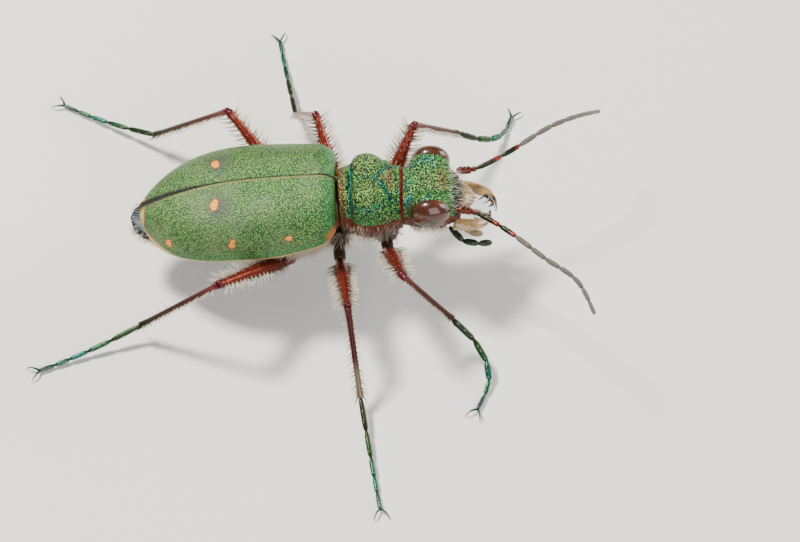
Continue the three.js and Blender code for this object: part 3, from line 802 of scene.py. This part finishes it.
def make_scutellum():
    size = SCUTELLUM
    skin = Skin()

    def place(i, j):
        x = mix(size["front"], size["rear"], i)
        half = size["half_width"] * (1 - i ** 1.3) + 0.004
        y = mix(-half, half, j)
        lift = 0.07 * sin(pi * j) * (1 - i) - 0.25 * max(0, 0.25 - i)
        return on_trunk(x, y, size["height"] + 0.16 * i + lift), (i, j), {}

    skin.grid(*GRIDS["scutellum"], place)
    skin.object("scutellum", "scutellum_bronze", size["shell"])


def ball_direction(i, j):
    """Out from the middle of a ball, from its top at i = 0 to its bottom at i = 1."""
    polar, turn = pi * i, tau * j
    return Vector((sin(polar) * cos(turn), sin(polar) * sin(turn), cos(polar)))


def make_eye(side, side_name):
    skin = Skin("low")
    centre = EYE["centre"] * Vector((1, side, 1))

    def place(i, j):
        out = ball_direction(mix(0.005, 0.995, i), j)
        point = centre + Vector((out.x, side * out.z, out.y)) * EYE["radii"]
        # the low mark: painted shade towards the bottom of the eye
        return TRUNK @ point, (i, j), {"low": smooth(0.2, -0.7, out.y)}

    skin.grid(*GRIDS["eye"], place, closed=True)
    skin.object(f"eye_{side_name}", "eye_brown", flip=side < 0)


# Mouth
LABRUM = {"half_width": 0.65, "reach": 0.62, "tilt": radians(20), "shell": 0.12}
LABRUM_TEETH = [(0.0, 0.15, 0.16), (0.34, 0.07, 0.06), (-0.34, 0.07, 0.06)]
LABRUM_PITS = (-0.62, -0.36, -0.13, 0.13, 0.36, 0.62)


def labrum_front(q):
    """How far the front edge of the labrum reaches at share q of its half width."""
    arch = LABRUM["reach"] * sqrt(max(0.0, 1 - abs(q) ** 3.2))
    return arch + sum(height * bump(q, at, width) for at, width, height in LABRUM_TEETH)


def make_labrum():
    skin = Skin("dark")
    tilt = Matrix.Rotation(LABRUM["tilt"], 4, "Y")
    base = Vector((HEAD["front"] - 0.1, 0, 0.44))

    def place(i, j):
        q = mix(-1, 1, j)
        x = labrum_front(q) * i
        z = 0.10 * (1 - q * q) - 0.16 * i * i
        pits = sum(bump(q, at, 0.045) * bump(i, 0.84, 0.045) for at in LABRUM_PITS)
        edge = smooth(0.965, 1.0, i)
        point = base + tilt @ Vector((x, LABRUM["half_width"] * q, z - 0.03 * pits))
        return TRUNK @ point, (i, j), {"dark": clamp(pits + 0.7 * edge)}

    skin.grid(*GRIDS["labrum"], place)
    skin.object("labrum", "labrum_cream", LABRUM["shell"], True)


def lengths_along(path):
    """How far along the path each of its points lies."""
    lengths = [0.0]
    for p, q in zip(path, path[1:]):
        lengths.append(lengths[-1] + (q - p).length)
    return lengths


def any_across(along):
    guide = Vector((0, 0, 1)) if abs(along.z) < 0.9 else Vector((1, 0, 0))
    return along.cross(guide).normalized()


def curve_points(controls, count):
    """Points at equal steps of a smooth curve through the controls."""
    path = []
    for k in range(len(controls) - 1):
        before = controls[max(0, k - 1)]
        a, b = controls[k], controls[k + 1]
        after = controls[min(len(controls) - 1, k + 2)]
        for step in range(20):
            t = step / 20
            path.append(0.5 * (2 * a + (b - before) * t + (2 * before - 5 * a + 4 * b - after) * t ** 2
                               + (3 * a - before - 3 * b + after) * t ** 3))
    path.append(controls[-1])
    lengths = lengths_along(path)
    points = []
    k = 0
    for i in range(count + 1):
        want = lengths[-1] * i / count
        while k < len(path) - 2 and lengths[k + 1] < want:
            k += 1
        share = (want - lengths[k]) / max(1e-9, lengths[k + 1] - lengths[k])
        points.append(path[k].lerp(path[k + 1], clamp(share)))
    return points


def frames_along(points):
    """An across and an up direction at each point, turning as little as they can."""
    frames = []
    across = None
    for k in range(len(points)):
        along = (points[min(k + 1, len(points) - 1)] - points[max(k - 1, 0)]).normalized()
        if across is None:
            across = any_across(along)
        across = (across - along * across.dot(along)).normalized()
        frames.append((along, across, across.cross(along).normalized()))
    return frames


def add_tube(skin, points, radius_at, sides, marks_at=None):
    """A closed tube. radius_at(t) gives one radius, or a pair for across and up. Returns its frames."""
    frames = frames_along(points)
    rows = len(points) - 1

    def place(i, j):
        k = round(i * rows)
        angle = j * 2 * pi
        radius = radius_at(i)
        wide, deep = radius if isinstance(radius, tuple) else (radius, radius)
        _, across, up = frames[k]
        point = points[k] + across * (wide * cos(angle)) + up * (deep * sin(angle))
        return point, (i, j), marks_at(i, angle) if marks_at else {}

    skin.grid(rows, sides, place, closed=True)
    return frames


MANDIBLES = {
    "left": (Vector((4.95, 0.98, -0.4)), Vector((6.75, 0.84, -0.4)), Vector((6.72, -0.36, -0.4))),
    "right": (Vector((4.95, -0.98, -0.35)), Vector((6.5, -0.98, -0.8)), Vector((6.45, 0.12, -1.02))),
}
MANDIBLE_WIDTHS, MANDIBLE_DEPTHS = (0.28, 0.028), (0.24, 0.028)  # radii at the base and the tip
TOOTH_RADII = (0.15, 0.012)
MANDIBLE_TEETH = [(0.5, 0.40), (0.66, 0.36), (0.8, 0.26)]  # share along the jaw, length


def arc_through(start, bend, end, steps):
    """A curve that leaves start towards bend and comes into end from it."""
    shares = [k / steps for k in range(steps + 1)]
    return [(1 - t) ** 2 * start + 2 * t * (1 - t) * bend + t * t * end for t in shares]


def make_mandible(side_name):
    base, bend, tip = MANDIBLES[side_name]
    steps = 40
    points = [TRUNK @ point for point in arc_through(base, bend, tip, steps)]
    skin = Skin("dark")

    def radius_at(t):
        return mix(*MANDIBLE_WIDTHS, t ** 2), mix(*MANDIBLE_DEPTHS, t ** 1.4)

    def marks_at(t, angle):
        return {"dark": smooth(0.45, 0.8, t + 0.12 * cos(angle))}

    add_tube(skin, points, radius_at, 20, marks_at)
    inward = (TRUNK.to_3x3() @ (tip - bend - Vector((0.5, 0, 0)))).normalized()
    for t, reach in MANDIBLE_TEETH:
        root = points[round(t * steps)]
        end = root + inward * reach + Vector((-0.16, 0, -0.02))
        tooth = curve_points([root, root.lerp(end, 0.6) + Vector((0.03, 0, 0)), end], 10)
        add_tube(skin, tooth, lambda u: mix(*TOOTH_RADII, u ** 0.8), 12,
                 lambda u, angle: {"dark": mix(0.5, 1, u)})
    skin.object(f"mandible_{side_name}", "mandible_ivory")


PALP_RADIUS, PALP_SWELL = 0.11, 1.35
JOINT_SWELL = 1.14
PALPS = {
    "maxillary_palp": {
        "controls": [(4.75, 0.75, -0.95), (5.3, 1.3, -1.2), (5.95, 1.42, -1.25), (6.5, 1.25, -1.45)],
        "slot": "palp_dark",
    },
    "labial_palp": {
        "controls": [(5.1, 0.35, -0.95), (5.55, 0.55, -1.72), (6.1, 0.5, -1.9)],
        "slot": "palp_pale",
    },
}


def straight(start, end, count=14):
    return [start.lerp(end, k / count) for k in range(count + 1)]


def add_joint(skin, path, radius, swell, sides=14, marks_at=None):
    """One joint of a limb: narrow where it leaves the last, widest past its middle."""
    def radius_at(t):
        base = 0.62 + 0.38 * smooth(0, 0.22, t)
        club = 1 + (swell - 1) * sin(pi * clamp(t * 0.95)) ** 1.4
        tip = sqrt(clamp((1.0 - t) / 0.1, 0.25, 1))
        return radius * base * club * tip

    return add_tube(skin, path, radius_at, sides, marks_at)


def make_palps(side, side_name):
    for name, palp in PALPS.items():
        skin = Skin()
        points = [on_trunk(x, y * side, z) for x, y, z in palp["controls"]]
        for start, end in zip(points, points[1:]):
            add_joint(skin, straight(start.lerp(end, -0.03), end), PALP_RADIUS, PALP_SWELL)
        skin.object(f"{name}_{side_name}", palp["slot"])


# Bristles and hair. Each hair is a closed three-sided spike.
HAIR_BANDS = 3
HAIR_PATCH = 0.0015  # radius of a hair on its map


class Coat:
    def __init__(self):
        self.skin = Skin("along")

    def hair(self, root, direction, length, radius, droop, patch):
        along = direction.normalized()
        across = any_across(along)
        up = across.cross(along)
        rings = []
        for k in range(HAIR_BANDS):
            t = k / HAIR_BANDS
            centre = root + along * (length * t) + droop * (length * t * t)
            size = radius * (1 - 0.6 * t)
            ring = []
            for corner in range(3):
                angle = corner * 2 * pi / 3
                point = centre + across * (size * cos(angle)) + up * (size * sin(angle))
                plan = (patch[0] + HAIR_PATCH * cos(angle), patch[1] + HAIR_PATCH * sin(angle))
                ring.append(self.skin.vertex(point, plan, along=t))
            rings.append(ring)
        tip = self.skin.vertex(root + along * length + droop * length, patch, along=1.0)
        self.skin.faces.append(tuple(rings[0]))
        for low, high in zip(rings, rings[1:]):
            for a in range(3):
                b = (a + 1) % 3
                self.skin.faces.append((low[b], low[a], high[a], high[b]))
        for a in range(3):
            self.skin.faces.append((rings[-1][(a + 1) % 3], rings[-1][a], tip))

    def object(self, name, material, slot):
        made = self.skin.build(name, name, MATERIALS[material], "OFBake")
        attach(made, "root")


def bristle_limb(coat, points, frames, radius_at, style, patch_row, spread=(0.1, 0.96)):
    """Rows of bristles along a limb, curving towards its tip."""
    steps = len(points) - 1
    for angle_of_row in style["rows"]:
        phase = rng.random()
        for n in range(style["count"]):
            t = mix(spread[0], spread[1], (n + 0.3 * phase + rng.uniform(0, 0.4)) / style["count"])
            k = min(steps, round(t * steps))
            along, across, up = frames[k]
            angle = radians(angle_of_row + rng.uniform(-ROW_WANDER, ROW_WANDER))
            out = across * cos(angle) + up * sin(angle)
            turn = radians(style["lean"] + rng.uniform(-LEAN_WANDER, LEAN_WANDER))
            direction = out * cos(turn) + along * sin(turn)
            root = points[k] + out * (radius_at(t) * 0.85)
            reach = style["length"] * rng.uniform(0.8, 1.12)
            patch = (mix(0.02, 0.98, t), patch_row + 0.05 * (angle / tau % 1))
            curl = along * (style["curl"] * rng.uniform(0.6, 1.3))
            coat.hair(root, direction, reach, style["radius"], curl, patch)


# Bristles: the angles around the limb at which their rows stand, in degrees, how many in a row, length
# and radius, lean towards the limb's tip in degrees, and curl
COMB = {
    "rows": (-22, -4, 12, 168, 184, 202), "count": 18, "length": 0.54, "radius": 0.034,
    "lean": 16, "curl": 0.36,
}
SHORT = {
    "rows": (55, 90, 125, 235, 270, 305), "count": 8, "length": 0.22, "radius": 0.013,
    "lean": 42, "curl": 0.2,
}
SHIN_COMB = {
    "rows": (-14, 8, 172, 194, 270), "count": 19, "length": 0.32, "radius": 0.025,
    "lean": 36, "curl": 0.12,
}
FOOT_BRISTLES = {
    "rows": range(0, 360, 72), "count": 3, "length": 0.16, "radius": 0.009, "lean": 50, "curl": 0.1,
}
SETAE = {"rows": range(0, 360, 90), "count": 3, "length": 0.24, "radius": 0.012, "lean": 38, "curl": 0.1}
DOWN = {"rows": range(0, 360, 30), "count": 7, "length": 0.08, "radius": 0.006, "lean": 48, "curl": 0.1}
ROW_WANDER = 7
LEAN_WANDER = 9


# Feelers
FEELER_SHARES = [0.085, 0.025, 0.155, 0.115, 0.115, 0.1, 0.09, 0.085, 0.08, 0.075, 0.075]
FEELER_RADII = [0.15, 0.10, 0.10, 0.10, 0.10, 0.098, 0.096, 0.094, 0.09, 0.085, 0.075]
FEELER_NODES = {"scape": (0, 1), "lower": (2, 3), "middle": (4, 6), "tip": (7, 10)}
METALLIC_JOINTS = 4  # the first joints are bare and shining, and the others downy
FEELER_STEPS = 400
FEELER_ROOT = Vector((5.12, 0.98, 0.72))
FEELER_BOWS = {  # in the standing frame
    "right": [
        (5.9, -1.15, 5.2), (7.18, -2.23, 5.5), (8.66, -3.76, 5.8), (10.0, -4.84, 5.7), (10.7, -6.2, 5.3),
    ],
    "left": [
        (5.95, 1.1, 5.25), (7.27, 1.74, 5.5), (8.9, 2.88, 5.6), (10.1, 3.68, 5.3), (11.2, 4.75, 4.2),
    ],
}


def make_feeler(side, side_name):
    root = TRUNK @ (FEELER_ROOT * Vector((1, side, 1)))
    path = curve_points([root] + [on_floor(*point) for point in FEELER_BOWS[side_name]], FEELER_STEPS)
    coat = Coat()
    for node, (first, last) in FEELER_NODES.items():
        skin = Skin("hue", "joint")
        for j in range(first, last + 1):
            start = sum(FEELER_SHARES[:j])
            overlap = 0.006 if j else 0
            a = round((start - overlap) * FEELER_STEPS)
            b = round((start + FEELER_SHARES[j]) * FEELER_STEPS)
            points = path[a:b + 1]
            radius = FEELER_RADII[j]
            hue = 0.10 if j < 2 else 0.56

            def marks_at(t, angle):
                ends = smooth(0.8, 1.0, t) + smooth(0.12, 0.0, t)
                return {"hue": mix(hue, 0.14, smooth(0.55, 0.95, t)), "joint": ends}

            frames = add_joint(skin, points, radius, JOINT_SWELL, marks_at=marks_at)
            bare = j < METALLIC_JOINTS
            bristle_limb(coat, points, frames, lambda t: radius, SETAE if bare else DOWN,
                         (0.1 if bare else 0.08) * j)
        slot = "antenna_metallic" if first < METALLIC_JOINTS else "antenna_grey"
        skin.object(f"antenna_{node}_{side_name}", slot)
    coat.object(f"antenna_hair_{side_name}", "hair_white", "antenna_grey")


# Legs: hip in the trunk frame, then knee, ankle, toe and, where the foot has one, its bend in the
# standing frame
LEGS = {
    "front_right": {
        "hip": (2.05, -1.3, -1.35), "knee": (2.83, -4.14, 5.0), "ankle": (4.87, -4.3, 2.0),
        "bend": (7.0, -5.35, 0.45), "toe": (5.92, -7.7),
    },
    "middle_right": {
        "hip": (0.05, -1.5, -1.7), "knee": (0.54, -4.96, 3.9), "ankle": (1.06, -7.44, 0.8),
        "toe": (1.9, -12.5),
    },
    "hind_right": {
        "hip": (-1.75, -1.45, -1.8), "knee": (-4.83, -4.32, 4.6), "ankle": (-8.2, -3.98, 0.95),
        "toe": (-12.5, -5.76),
    },
    "front_left": {
        "hip": (2.05, 1.3, -1.35), "knee": (3.3, 3.35, 5.2), "ankle": (5.17, 4.85, 2.4),
        "bend": (6.9, 5.4, 0.5), "toe": (7.6, 7.3),
    },
    "middle_left": {
        "hip": (0.05, 1.5, -1.7), "knee": (-0.87, 4.5, 4.3), "ankle": (-1.8, 6.7, 1.1),
        "toe": (-2.6, 11.4),
    },
    "hind_left": {
        "hip": (-1.75, 1.45, -1.8), "knee": (-4.58, 4.33, 4.8), "ankle": (-7.9, 5.7, 1.05),
        "toe": (-12.0, 7.9),
    },
}
FEMUR_RADIUS = {"front": 0.31, "middle": 0.29, "hind": 0.32}
COXA_SIZE = {
    "front": Vector((0.62, 0.5, 0.75)),
    "middle": Vector((0.6, 0.5, 0.6)),
    "hind": Vector((0.85, 0.6, 0.45)),
}
COXA_INSET = {"front": 0.5, "middle": 0.68, "hind": 0.5}
COXA_SHOWN = {"front": 0.9, "middle": 0.8, "hind": 0.95}  # share of the solid's size
TROCHANTER = {"reach": 0.35, "radius": 0.22, "swell": 1.2}
FEMUR_SAG = 0.07
SPUR = {"start": 0.97, "reach": 0.30, "root": 0.08, "spread": 0.26, "radius": 0.045, "point": 0.008}
TARSUS_SHARES = [0.29, 0.22, 0.17, 0.14, 0.18]
TOE_HEIGHT = 0.17
CLAW_RADIUS, CLAW_POINT = 0.055, 0.01
CLAW = [(0.02, -0.05, 0.17), (0.16, 0.12, 0.24), (0.28, 0.30, 0.20), (0.34, 0.43, 0.03)]  # out, ahead, up

# Hue along each piece of a leg, from its start to its end
LIMB_HUE_ENDS = {
    "femur": {"front": (0.16, 0.32), "middle": (0.16, 0.32), "hind": (0.10, 0.28)},
    "tibia": {"front": (0.36, 0.46), "middle": (0.38, 0.40), "hind": (0.34, 0.54)},
    "tarsus": {"front": (0.54, 1.0), "middle": (0.50, 0.94), "hind": (0.58, 0.98)},
}


def region_of(leg):
    return leg.split("_")[0]


def limb_marks(region, piece, t):
    start, end = LIMB_HUE_ENDS[piece][region]
    near_knee = smooth(0.93, 0.98, t) if piece == "femur" else smooth(0.04, 0.01, t)
    # a highlight painted down the lower part of the middle tibiae
    painted_highlight = 0.6 * smooth(0.40, 0.78, t) if (region, piece) == ("middle", "tibia") else 0.0
    return {"hue": mix(start, end, t), "knee": near_knee, "painted_highlight": painted_highlight}


def coxa_centre(leg):
    region, side_name = leg.split("_")
    inward = COXA_INSET[region] if side_name == "right" else -COXA_INSET[region]
    return Vector(LEGS[leg]["hip"]) + Vector((0, inward, 0.42))


def tarsus_points(ankle, toe, bend):
    """The ends of the five joints of a foot. The last one lies level."""
    steps = 200
    length = (ankle - bend).length + (bend - toe).length
    heel = toe - level_direction(bend, toe) * (0.88 * length * TARSUS_SHARES[4])
    fine = arc_through(ankle, bend, heel, steps)
    lengths = lengths_along(fine)
    points = [ankle]
    for j in range(1, 5):
        want = min(1.0, sum(TARSUS_SHARES[:j]) / (1 - TARSUS_SHARES[4])) * lengths[-1]
        k = next((i for i, value in enumerate(lengths) if value >= want - 1e-9), steps)
        points.append(fine[k])
    return points + [toe]


def level_direction(start, end):
    level = end - start
    level.z = 0
    return level.normalized()


def add_ball(skin, centre, radii):
    def place(i, j):
        return centre + ball_direction(mix(0.01, 0.99, i), j) * radii, (i, j), {}

    skin.grid(*GRIDS["coxa"], place, closed=True)


def femur_radius_at(radius):
    def at(t):
        full = mix(0.20, radius, smooth(0.0, 0.28, t))
        taper = mix(1.0, 0.5, smooth(0.3, 0.95, t))
        knee = 0.03 * bump(t, 0.97, 0.04)
        return full * taper + knee
    return at


def tibia_radius_at(t):
    return mix(0.14, 0.125, smooth(0.0, 0.3, t)) + 0.035 * smooth(0.88, 1.0, t) + 0.02 * bump(t, 0.02, 0.05)


def make_leg(leg):
    spec = LEGS[leg]
    hip = Vector(spec["hip"])
    knee = on_floor(*spec["knee"])
    ankle = on_floor(*spec["ankle"])
    toe = on_floor(*spec["toe"], TOE_HEIGHT)
    if "bend" in spec:
        bend = on_floor(*spec["bend"])
    else:
        bend = ankle.lerp(toe, 0.45)
        bend.z = TOE_HEIGHT + 0.1
    coat = Coat()
    trochanter_end = make_coxa(leg, hip, (TRUNK.inverted() @ knee - hip).normalized())
    make_femur(leg, trochanter_end, knee, coat)
    make_tibia(leg, knee, ankle, coat)
    make_tarsus(leg, tarsus_points(ankle, toe, bend), coat)
    coat.object(f"leg_hair_{leg}", "hair_white", "leg_copper")


def make_coxa(leg, hip, towards_knee):
    """The hip and the first short joint. Returns where the femur begins."""
    region = region_of(leg)
    skin = Skin()
    centre = coxa_centre(leg)
    add_ball(skin, TRUNK @ centre, COXA_SIZE[region] * COXA_SHOWN[region])
    root = TRUNK @ hip.lerp(centre, 0.6)
    end = TRUNK @ (hip + towards_knee * (TROCHANTER["reach"] + 0.1))
    add_joint(skin, straight(root, end), TROCHANTER["radius"], TROCHANTER["swell"], 18)
    skin.object(f"coxa_{leg}", "coxa_bronze")
    return TRUNK @ (hip + towards_knee * (TROCHANTER["reach"] - 0.05))


def make_femur(leg, start, knee, coat):
    region = region_of(leg)
    along = knee - start
    steps = 60
    sag = along.cross(Vector((0, 0, 1))).normalized().cross(along).normalized()
    path = [point + sag * (FEMUR_SAG * sin(pi * k / steps))
            for k, point in enumerate(straight(start, knee, steps))]
    skin = Skin("hue", "knee", "painted_highlight")
    radius_at = femur_radius_at(FEMUR_RADIUS[region])
    frames = add_tube(skin, path, radius_at, 20, lambda t, angle: limb_marks(region, "femur", t))
    skin.object(f"femur_{leg}", "leg_copper")
    bristle_limb(coat, path, frames, radius_at, COMB, 0.05, (0.12, 0.97))
    bristle_limb(coat, path, frames, radius_at, SHORT, 0.12, (0.12, 0.95))


def make_tibia(leg, knee, ankle, coat):
    region = region_of(leg)
    path = straight(knee, ankle, 50)
    skin = Skin("hue", "knee", "painted_highlight")
    frames = add_tube(skin, path, tibia_radius_at, 16, lambda t, angle: limb_marks(region, "tibia", t))
    along = (ankle - knee).normalized()
    across = Vector((-along.y, along.x, 0)).normalized()
    for way in (-1, 1):
        root = knee.lerp(ankle, SPUR["start"]) + across * (way * SPUR["root"])
        end = ankle + along * SPUR["reach"] + across * (way * SPUR["spread"])
        add_tube(skin, straight(root, end, 8), lambda t: mix(SPUR["radius"], SPUR["point"], t), 8,
                 lambda t, angle: limb_marks(region, "tibia", 1))
    skin.object(f"tibia_{leg}", "leg_copper")
    bristle_limb(coat, path, frames, tibia_radius_at, SHIN_COMB, 0.25, (0.03, 0.98))


def make_tarsus(leg, ends, coat):
    region = region_of(leg)
    skin = Skin("hue")
    for j, (start, end) in enumerate(zip(ends, ends[1:])):
        radius = 0.125 if region == "front" and j < 3 else 0.105 - 0.006 * j

        def marks_at(t, angle):
            return limb_marks(region, "tarsus", (j + 0.5 * t + 0.25) / 5)

        path = straight(start.lerp(end, -0.03), end)
        frames = add_joint(skin, path, radius, JOINT_SWELL, marks_at=marks_at)
        bristle_limb(coat, path, frames, lambda t: radius, FOOT_BRISTLES, 0.4 + 0.1 * j)
    ahead = level_direction(ends[-2], ends[-1])
    across = Vector((-ahead.y, ahead.x, 0))
    under_toe = Vector((ends[-1].x, ends[-1].y, 0))
    for way in (-1, 1):
        controls = [under_toe + across * (way * x) + ahead * y + Vector((0, 0, z)) for x, y, z in CLAW]
        add_tube(skin, curve_points(controls, 12), lambda t: mix(CLAW_RADIUS, CLAW_POINT, t), 10,
                 lambda t, angle: {"hue": 0.95})
    skin.object(f"tarsus_{leg}", "foot_green")


# Fringes of hair on the trunk: how many, length, radius, spread of directions, and the corner of their
# patch of the hair's map
FRINGES = {
    "chest": (1300, 0.62, 0.014, 0.32, (0.05, 0.05)),
    "shield": (260, 0.40, 0.010, 0.4, (0.3, 0.05)),
    "cheek": (320, 0.42, 0.012, 0.35, (0.55, 0.05)),
    "front": (200, 0.5, 0.012, 0.3, (0.05, 0.4)),
    "middle": (300, 0.5, 0.012, 0.3, (0.05, 0.4)),
    "hind": (260, 0.5, 0.012, 0.3, (0.05, 0.4)),
    "frons": (120, 0.42, 0.009, 0.4, (0.05, 0.7)),
    "nape": (90, 0.32, 0.007, 0.35, (0.3, 0.7)),
    "rear": (360, 0.30, 0.011, 0.3, (0.6, 0.7)),
}
PATCH_SIZE = 0.18


def fringe(coat, name, place):
    """Hairs at random places. place(a, b) takes two shares and gives a root and a direction."""
    count, length, thickness, spread, corner = FRINGES[name]
    for _ in range(count):
        a, b = rng.random(), rng.random()
        root, direction = place(a, b)
        jitter = Vector((rng.uniform(-1, 1), rng.uniform(-1, 1), rng.uniform(-1, 1))) * spread
        direction = (direction.normalized() + jitter).normalized()
        droop = Vector((rng.uniform(-0.2, 0.1), 0, rng.uniform(-0.35, -0.05)))
        patch = (corner[0] + PATCH_SIZE * a, corner[1] + PATCH_SIZE * b)
        reach = length * rng.uniform(0.6, 1.2)
        coat.hair(TRUNK @ root, TRUNK.to_3x3() @ direction, reach, thickness, droop, patch)


def lower_root(part, degrees, width):
    """A point on the lower half of a section, by its angle above the side."""
    y = part.half * width * cos(radians(degrees)) ** ROOT_POWER
    z = part.z + (part.z - part.bottom) * sin(radians(degrees))
    return Vector((part.x, y, z))


def upper_root(part, degrees, width, sink):
    """A point on the upper half of a section, sunk a little into the skin."""
    y = part.half * width * cos(radians(degrees))
    z = part.z + (part.top - part.z) * sin(radians(degrees)) ** ROOT_POWER
    return Vector((part.x, y, z - sink))


# Fringes of the lower sides: section, share of its length, degrees above the side, share of its width,
# and the way the hairs point
SIDE_FRINGES = {
    "chest": (lambda t: body_section(t / BODY_END), (0.02, 0.42), (-65, 5), 1.0, (-0.55, 0.8, -0.45)),
    "shield": (pronotum_section, (0.12, 0.95), (-70, 15), 0.95, (-0.1, 1, -0.25)),
    "cheek": (head_section, (0.1, 0.7), (-85, -25), 1.0, (0.35, 0.5, -0.8)),
}


def make_side_fringe(side, side_name):
    mirror = Vector((1, side, 1))
    coat = Coat()
    for name, (section, span, degrees, width, way) in SIDE_FRINGES.items():
        def low(a, b):
            return lower_root(section(mix(*span, a)), mix(*degrees, b), side * width), Vector(way) * mirror

        fringe(coat, name, low)
    for region in ("front", "middle", "hind"):
        centre = coxa_centre(f"{region}_{side_name}")

        def cone(a, b):
            out = ball_direction(mix(20, 170, a) / 180, b)
            return centre + out * COXA_SIZE[region] * 0.78, out + Vector((-0.3, side * 0.5, -0.2))

        fringe(coat, region, cone)
    coat.object(f"fringe_{side_name}", "hair_tan", "thorax_bronze")


def make_face_hair():
    def frons(a, b):
        root = upper_root(head_section(mix(0.76, 0.985, a)), mix(15, 165, b), 0.95, 0.02)
        return root, Vector((0.9, copysign(0.25, root.y), 0.5))

    def nape(a, b):
        degrees = mix(15, 55, b) if rng.random() < 0.5 else mix(125, 165, b)
        root = upper_root(pronotum_section(mix(0.2, 0.9, a)), degrees, 0.98, 0.03)
        return root, Vector((0.1, copysign(0.8, root.y), 0.7))

    coat = Coat()
    fringe(coat, "frons", frons)
    fringe(coat, "nape", nape)
    coat.object("face_hair", "hair_white", "head_green")


def make_tail_hair():
    def rear(a, b):
        part = tail_section(mix(0.55, 0.96, a))
        angle = radians(mix(-60, 240, b))
        c, s = cos(angle), sin(angle)
        root = Vector((part.x, part.half * c, part.z + section_height(part, s) * s))
        return root, Vector((-1, 0.5 * c, -0.1))

    coat = Coat()
    fringe(coat, "rear", rear)
    coat.object("tail_hair", "hair_tan", "abdomen_blue")


# Stage
FLOOR_COLOUR = (0.74, 0.72, 0.68)
SKY_COLOUR = (0.80, 0.84, 0.90)
SKY_STRENGTH = 0.24


def make_stage():
    Shader("floor_pale", Base_Color=(*FLOOR_COLOUR, 1), Roughness=0.8)
    mesh = bpy.data.meshes.new("floor")
    corners = [(-1, -1, 0), (1, -1, 0), (1, 1, 0), (-1, 1, 0)]
    mesh.from_pydata(corners, [], [(0, 1, 2, 3)])
    mesh.materials.append(MATERIALS["floor_pale"])
    add_to_scene("floor", mesh)


# Lamps: place, width, power in watts, and colour
LAMPS = {
    "key": ((-85, 55, 175), 36, 0.95, (1.0, 0.95, 0.88)),
    "fill": ((60, -150, 120), 180, 0.40, (0.93, 0.96, 1.0)),
    "rim": ((140, 60, 60), 90, 0.25, (1.0, 0.98, 0.94)),
}
LIT_POINT = Vector((0, 0, 4))


def make_lights():
    for name, (place, width, power, colour) in LAMPS.items():
        light = bpy.data.lights.new(name, "AREA")
        light.size = width * MM
        light.energy = power
        light.color = colour
        lamp = add_to_scene(name, light)
        lamp.location = Vector(place) * MM
        aim = LIT_POINT * MM - lamp.location
        lamp.rotation_euler = aim.to_track_quat("-Z", "Y").to_euler()
    world = bpy.data.worlds.new("studio")
    world.use_nodes = True
    background = world.node_tree.nodes["Background"]
    background.inputs["Color"].default_value = (*SKY_COLOUR, 1)
    background.inputs["Strength"].default_value = SKY_STRENGTH
    bpy.context.scene.world = world


def make_camera():
    data = bpy.data.cameras.new("camera")
    data.lens = CAMERA_LENS
    data.sensor_width = 36
    data.clip_start = 0.001
    camera = add_to_scene("camera", data)
    back = Vector((0, -cos(CAMERA_ELEVATION), sin(CAMERA_ELEVATION)))
    camera.location = (on_floor(*CAMERA_TARGET) + back * CAMERA_DISTANCE) * MM
    camera.rotation_euler = (-back).to_track_quat("-Z", "Y").to_euler()
    bpy.context.scene.camera = camera


def make_all():
    make_camera()
    make_stage()
    make_lights()
    make_materials()
    make_trunk()
    make_scutellum()
    for side, side_name in SIDES:
        make_eye(side, side_name)
        make_mandible(side_name)
        make_palps(side, side_name)
        make_feeler(side, side_name)
    make_labrum()
    for leg in LEGS:
        make_leg(leg)
    for side, side_name in SIDES:
        make_side_fringe(side, side_name)
    make_face_hair()
    make_tail_hair()


make_all()
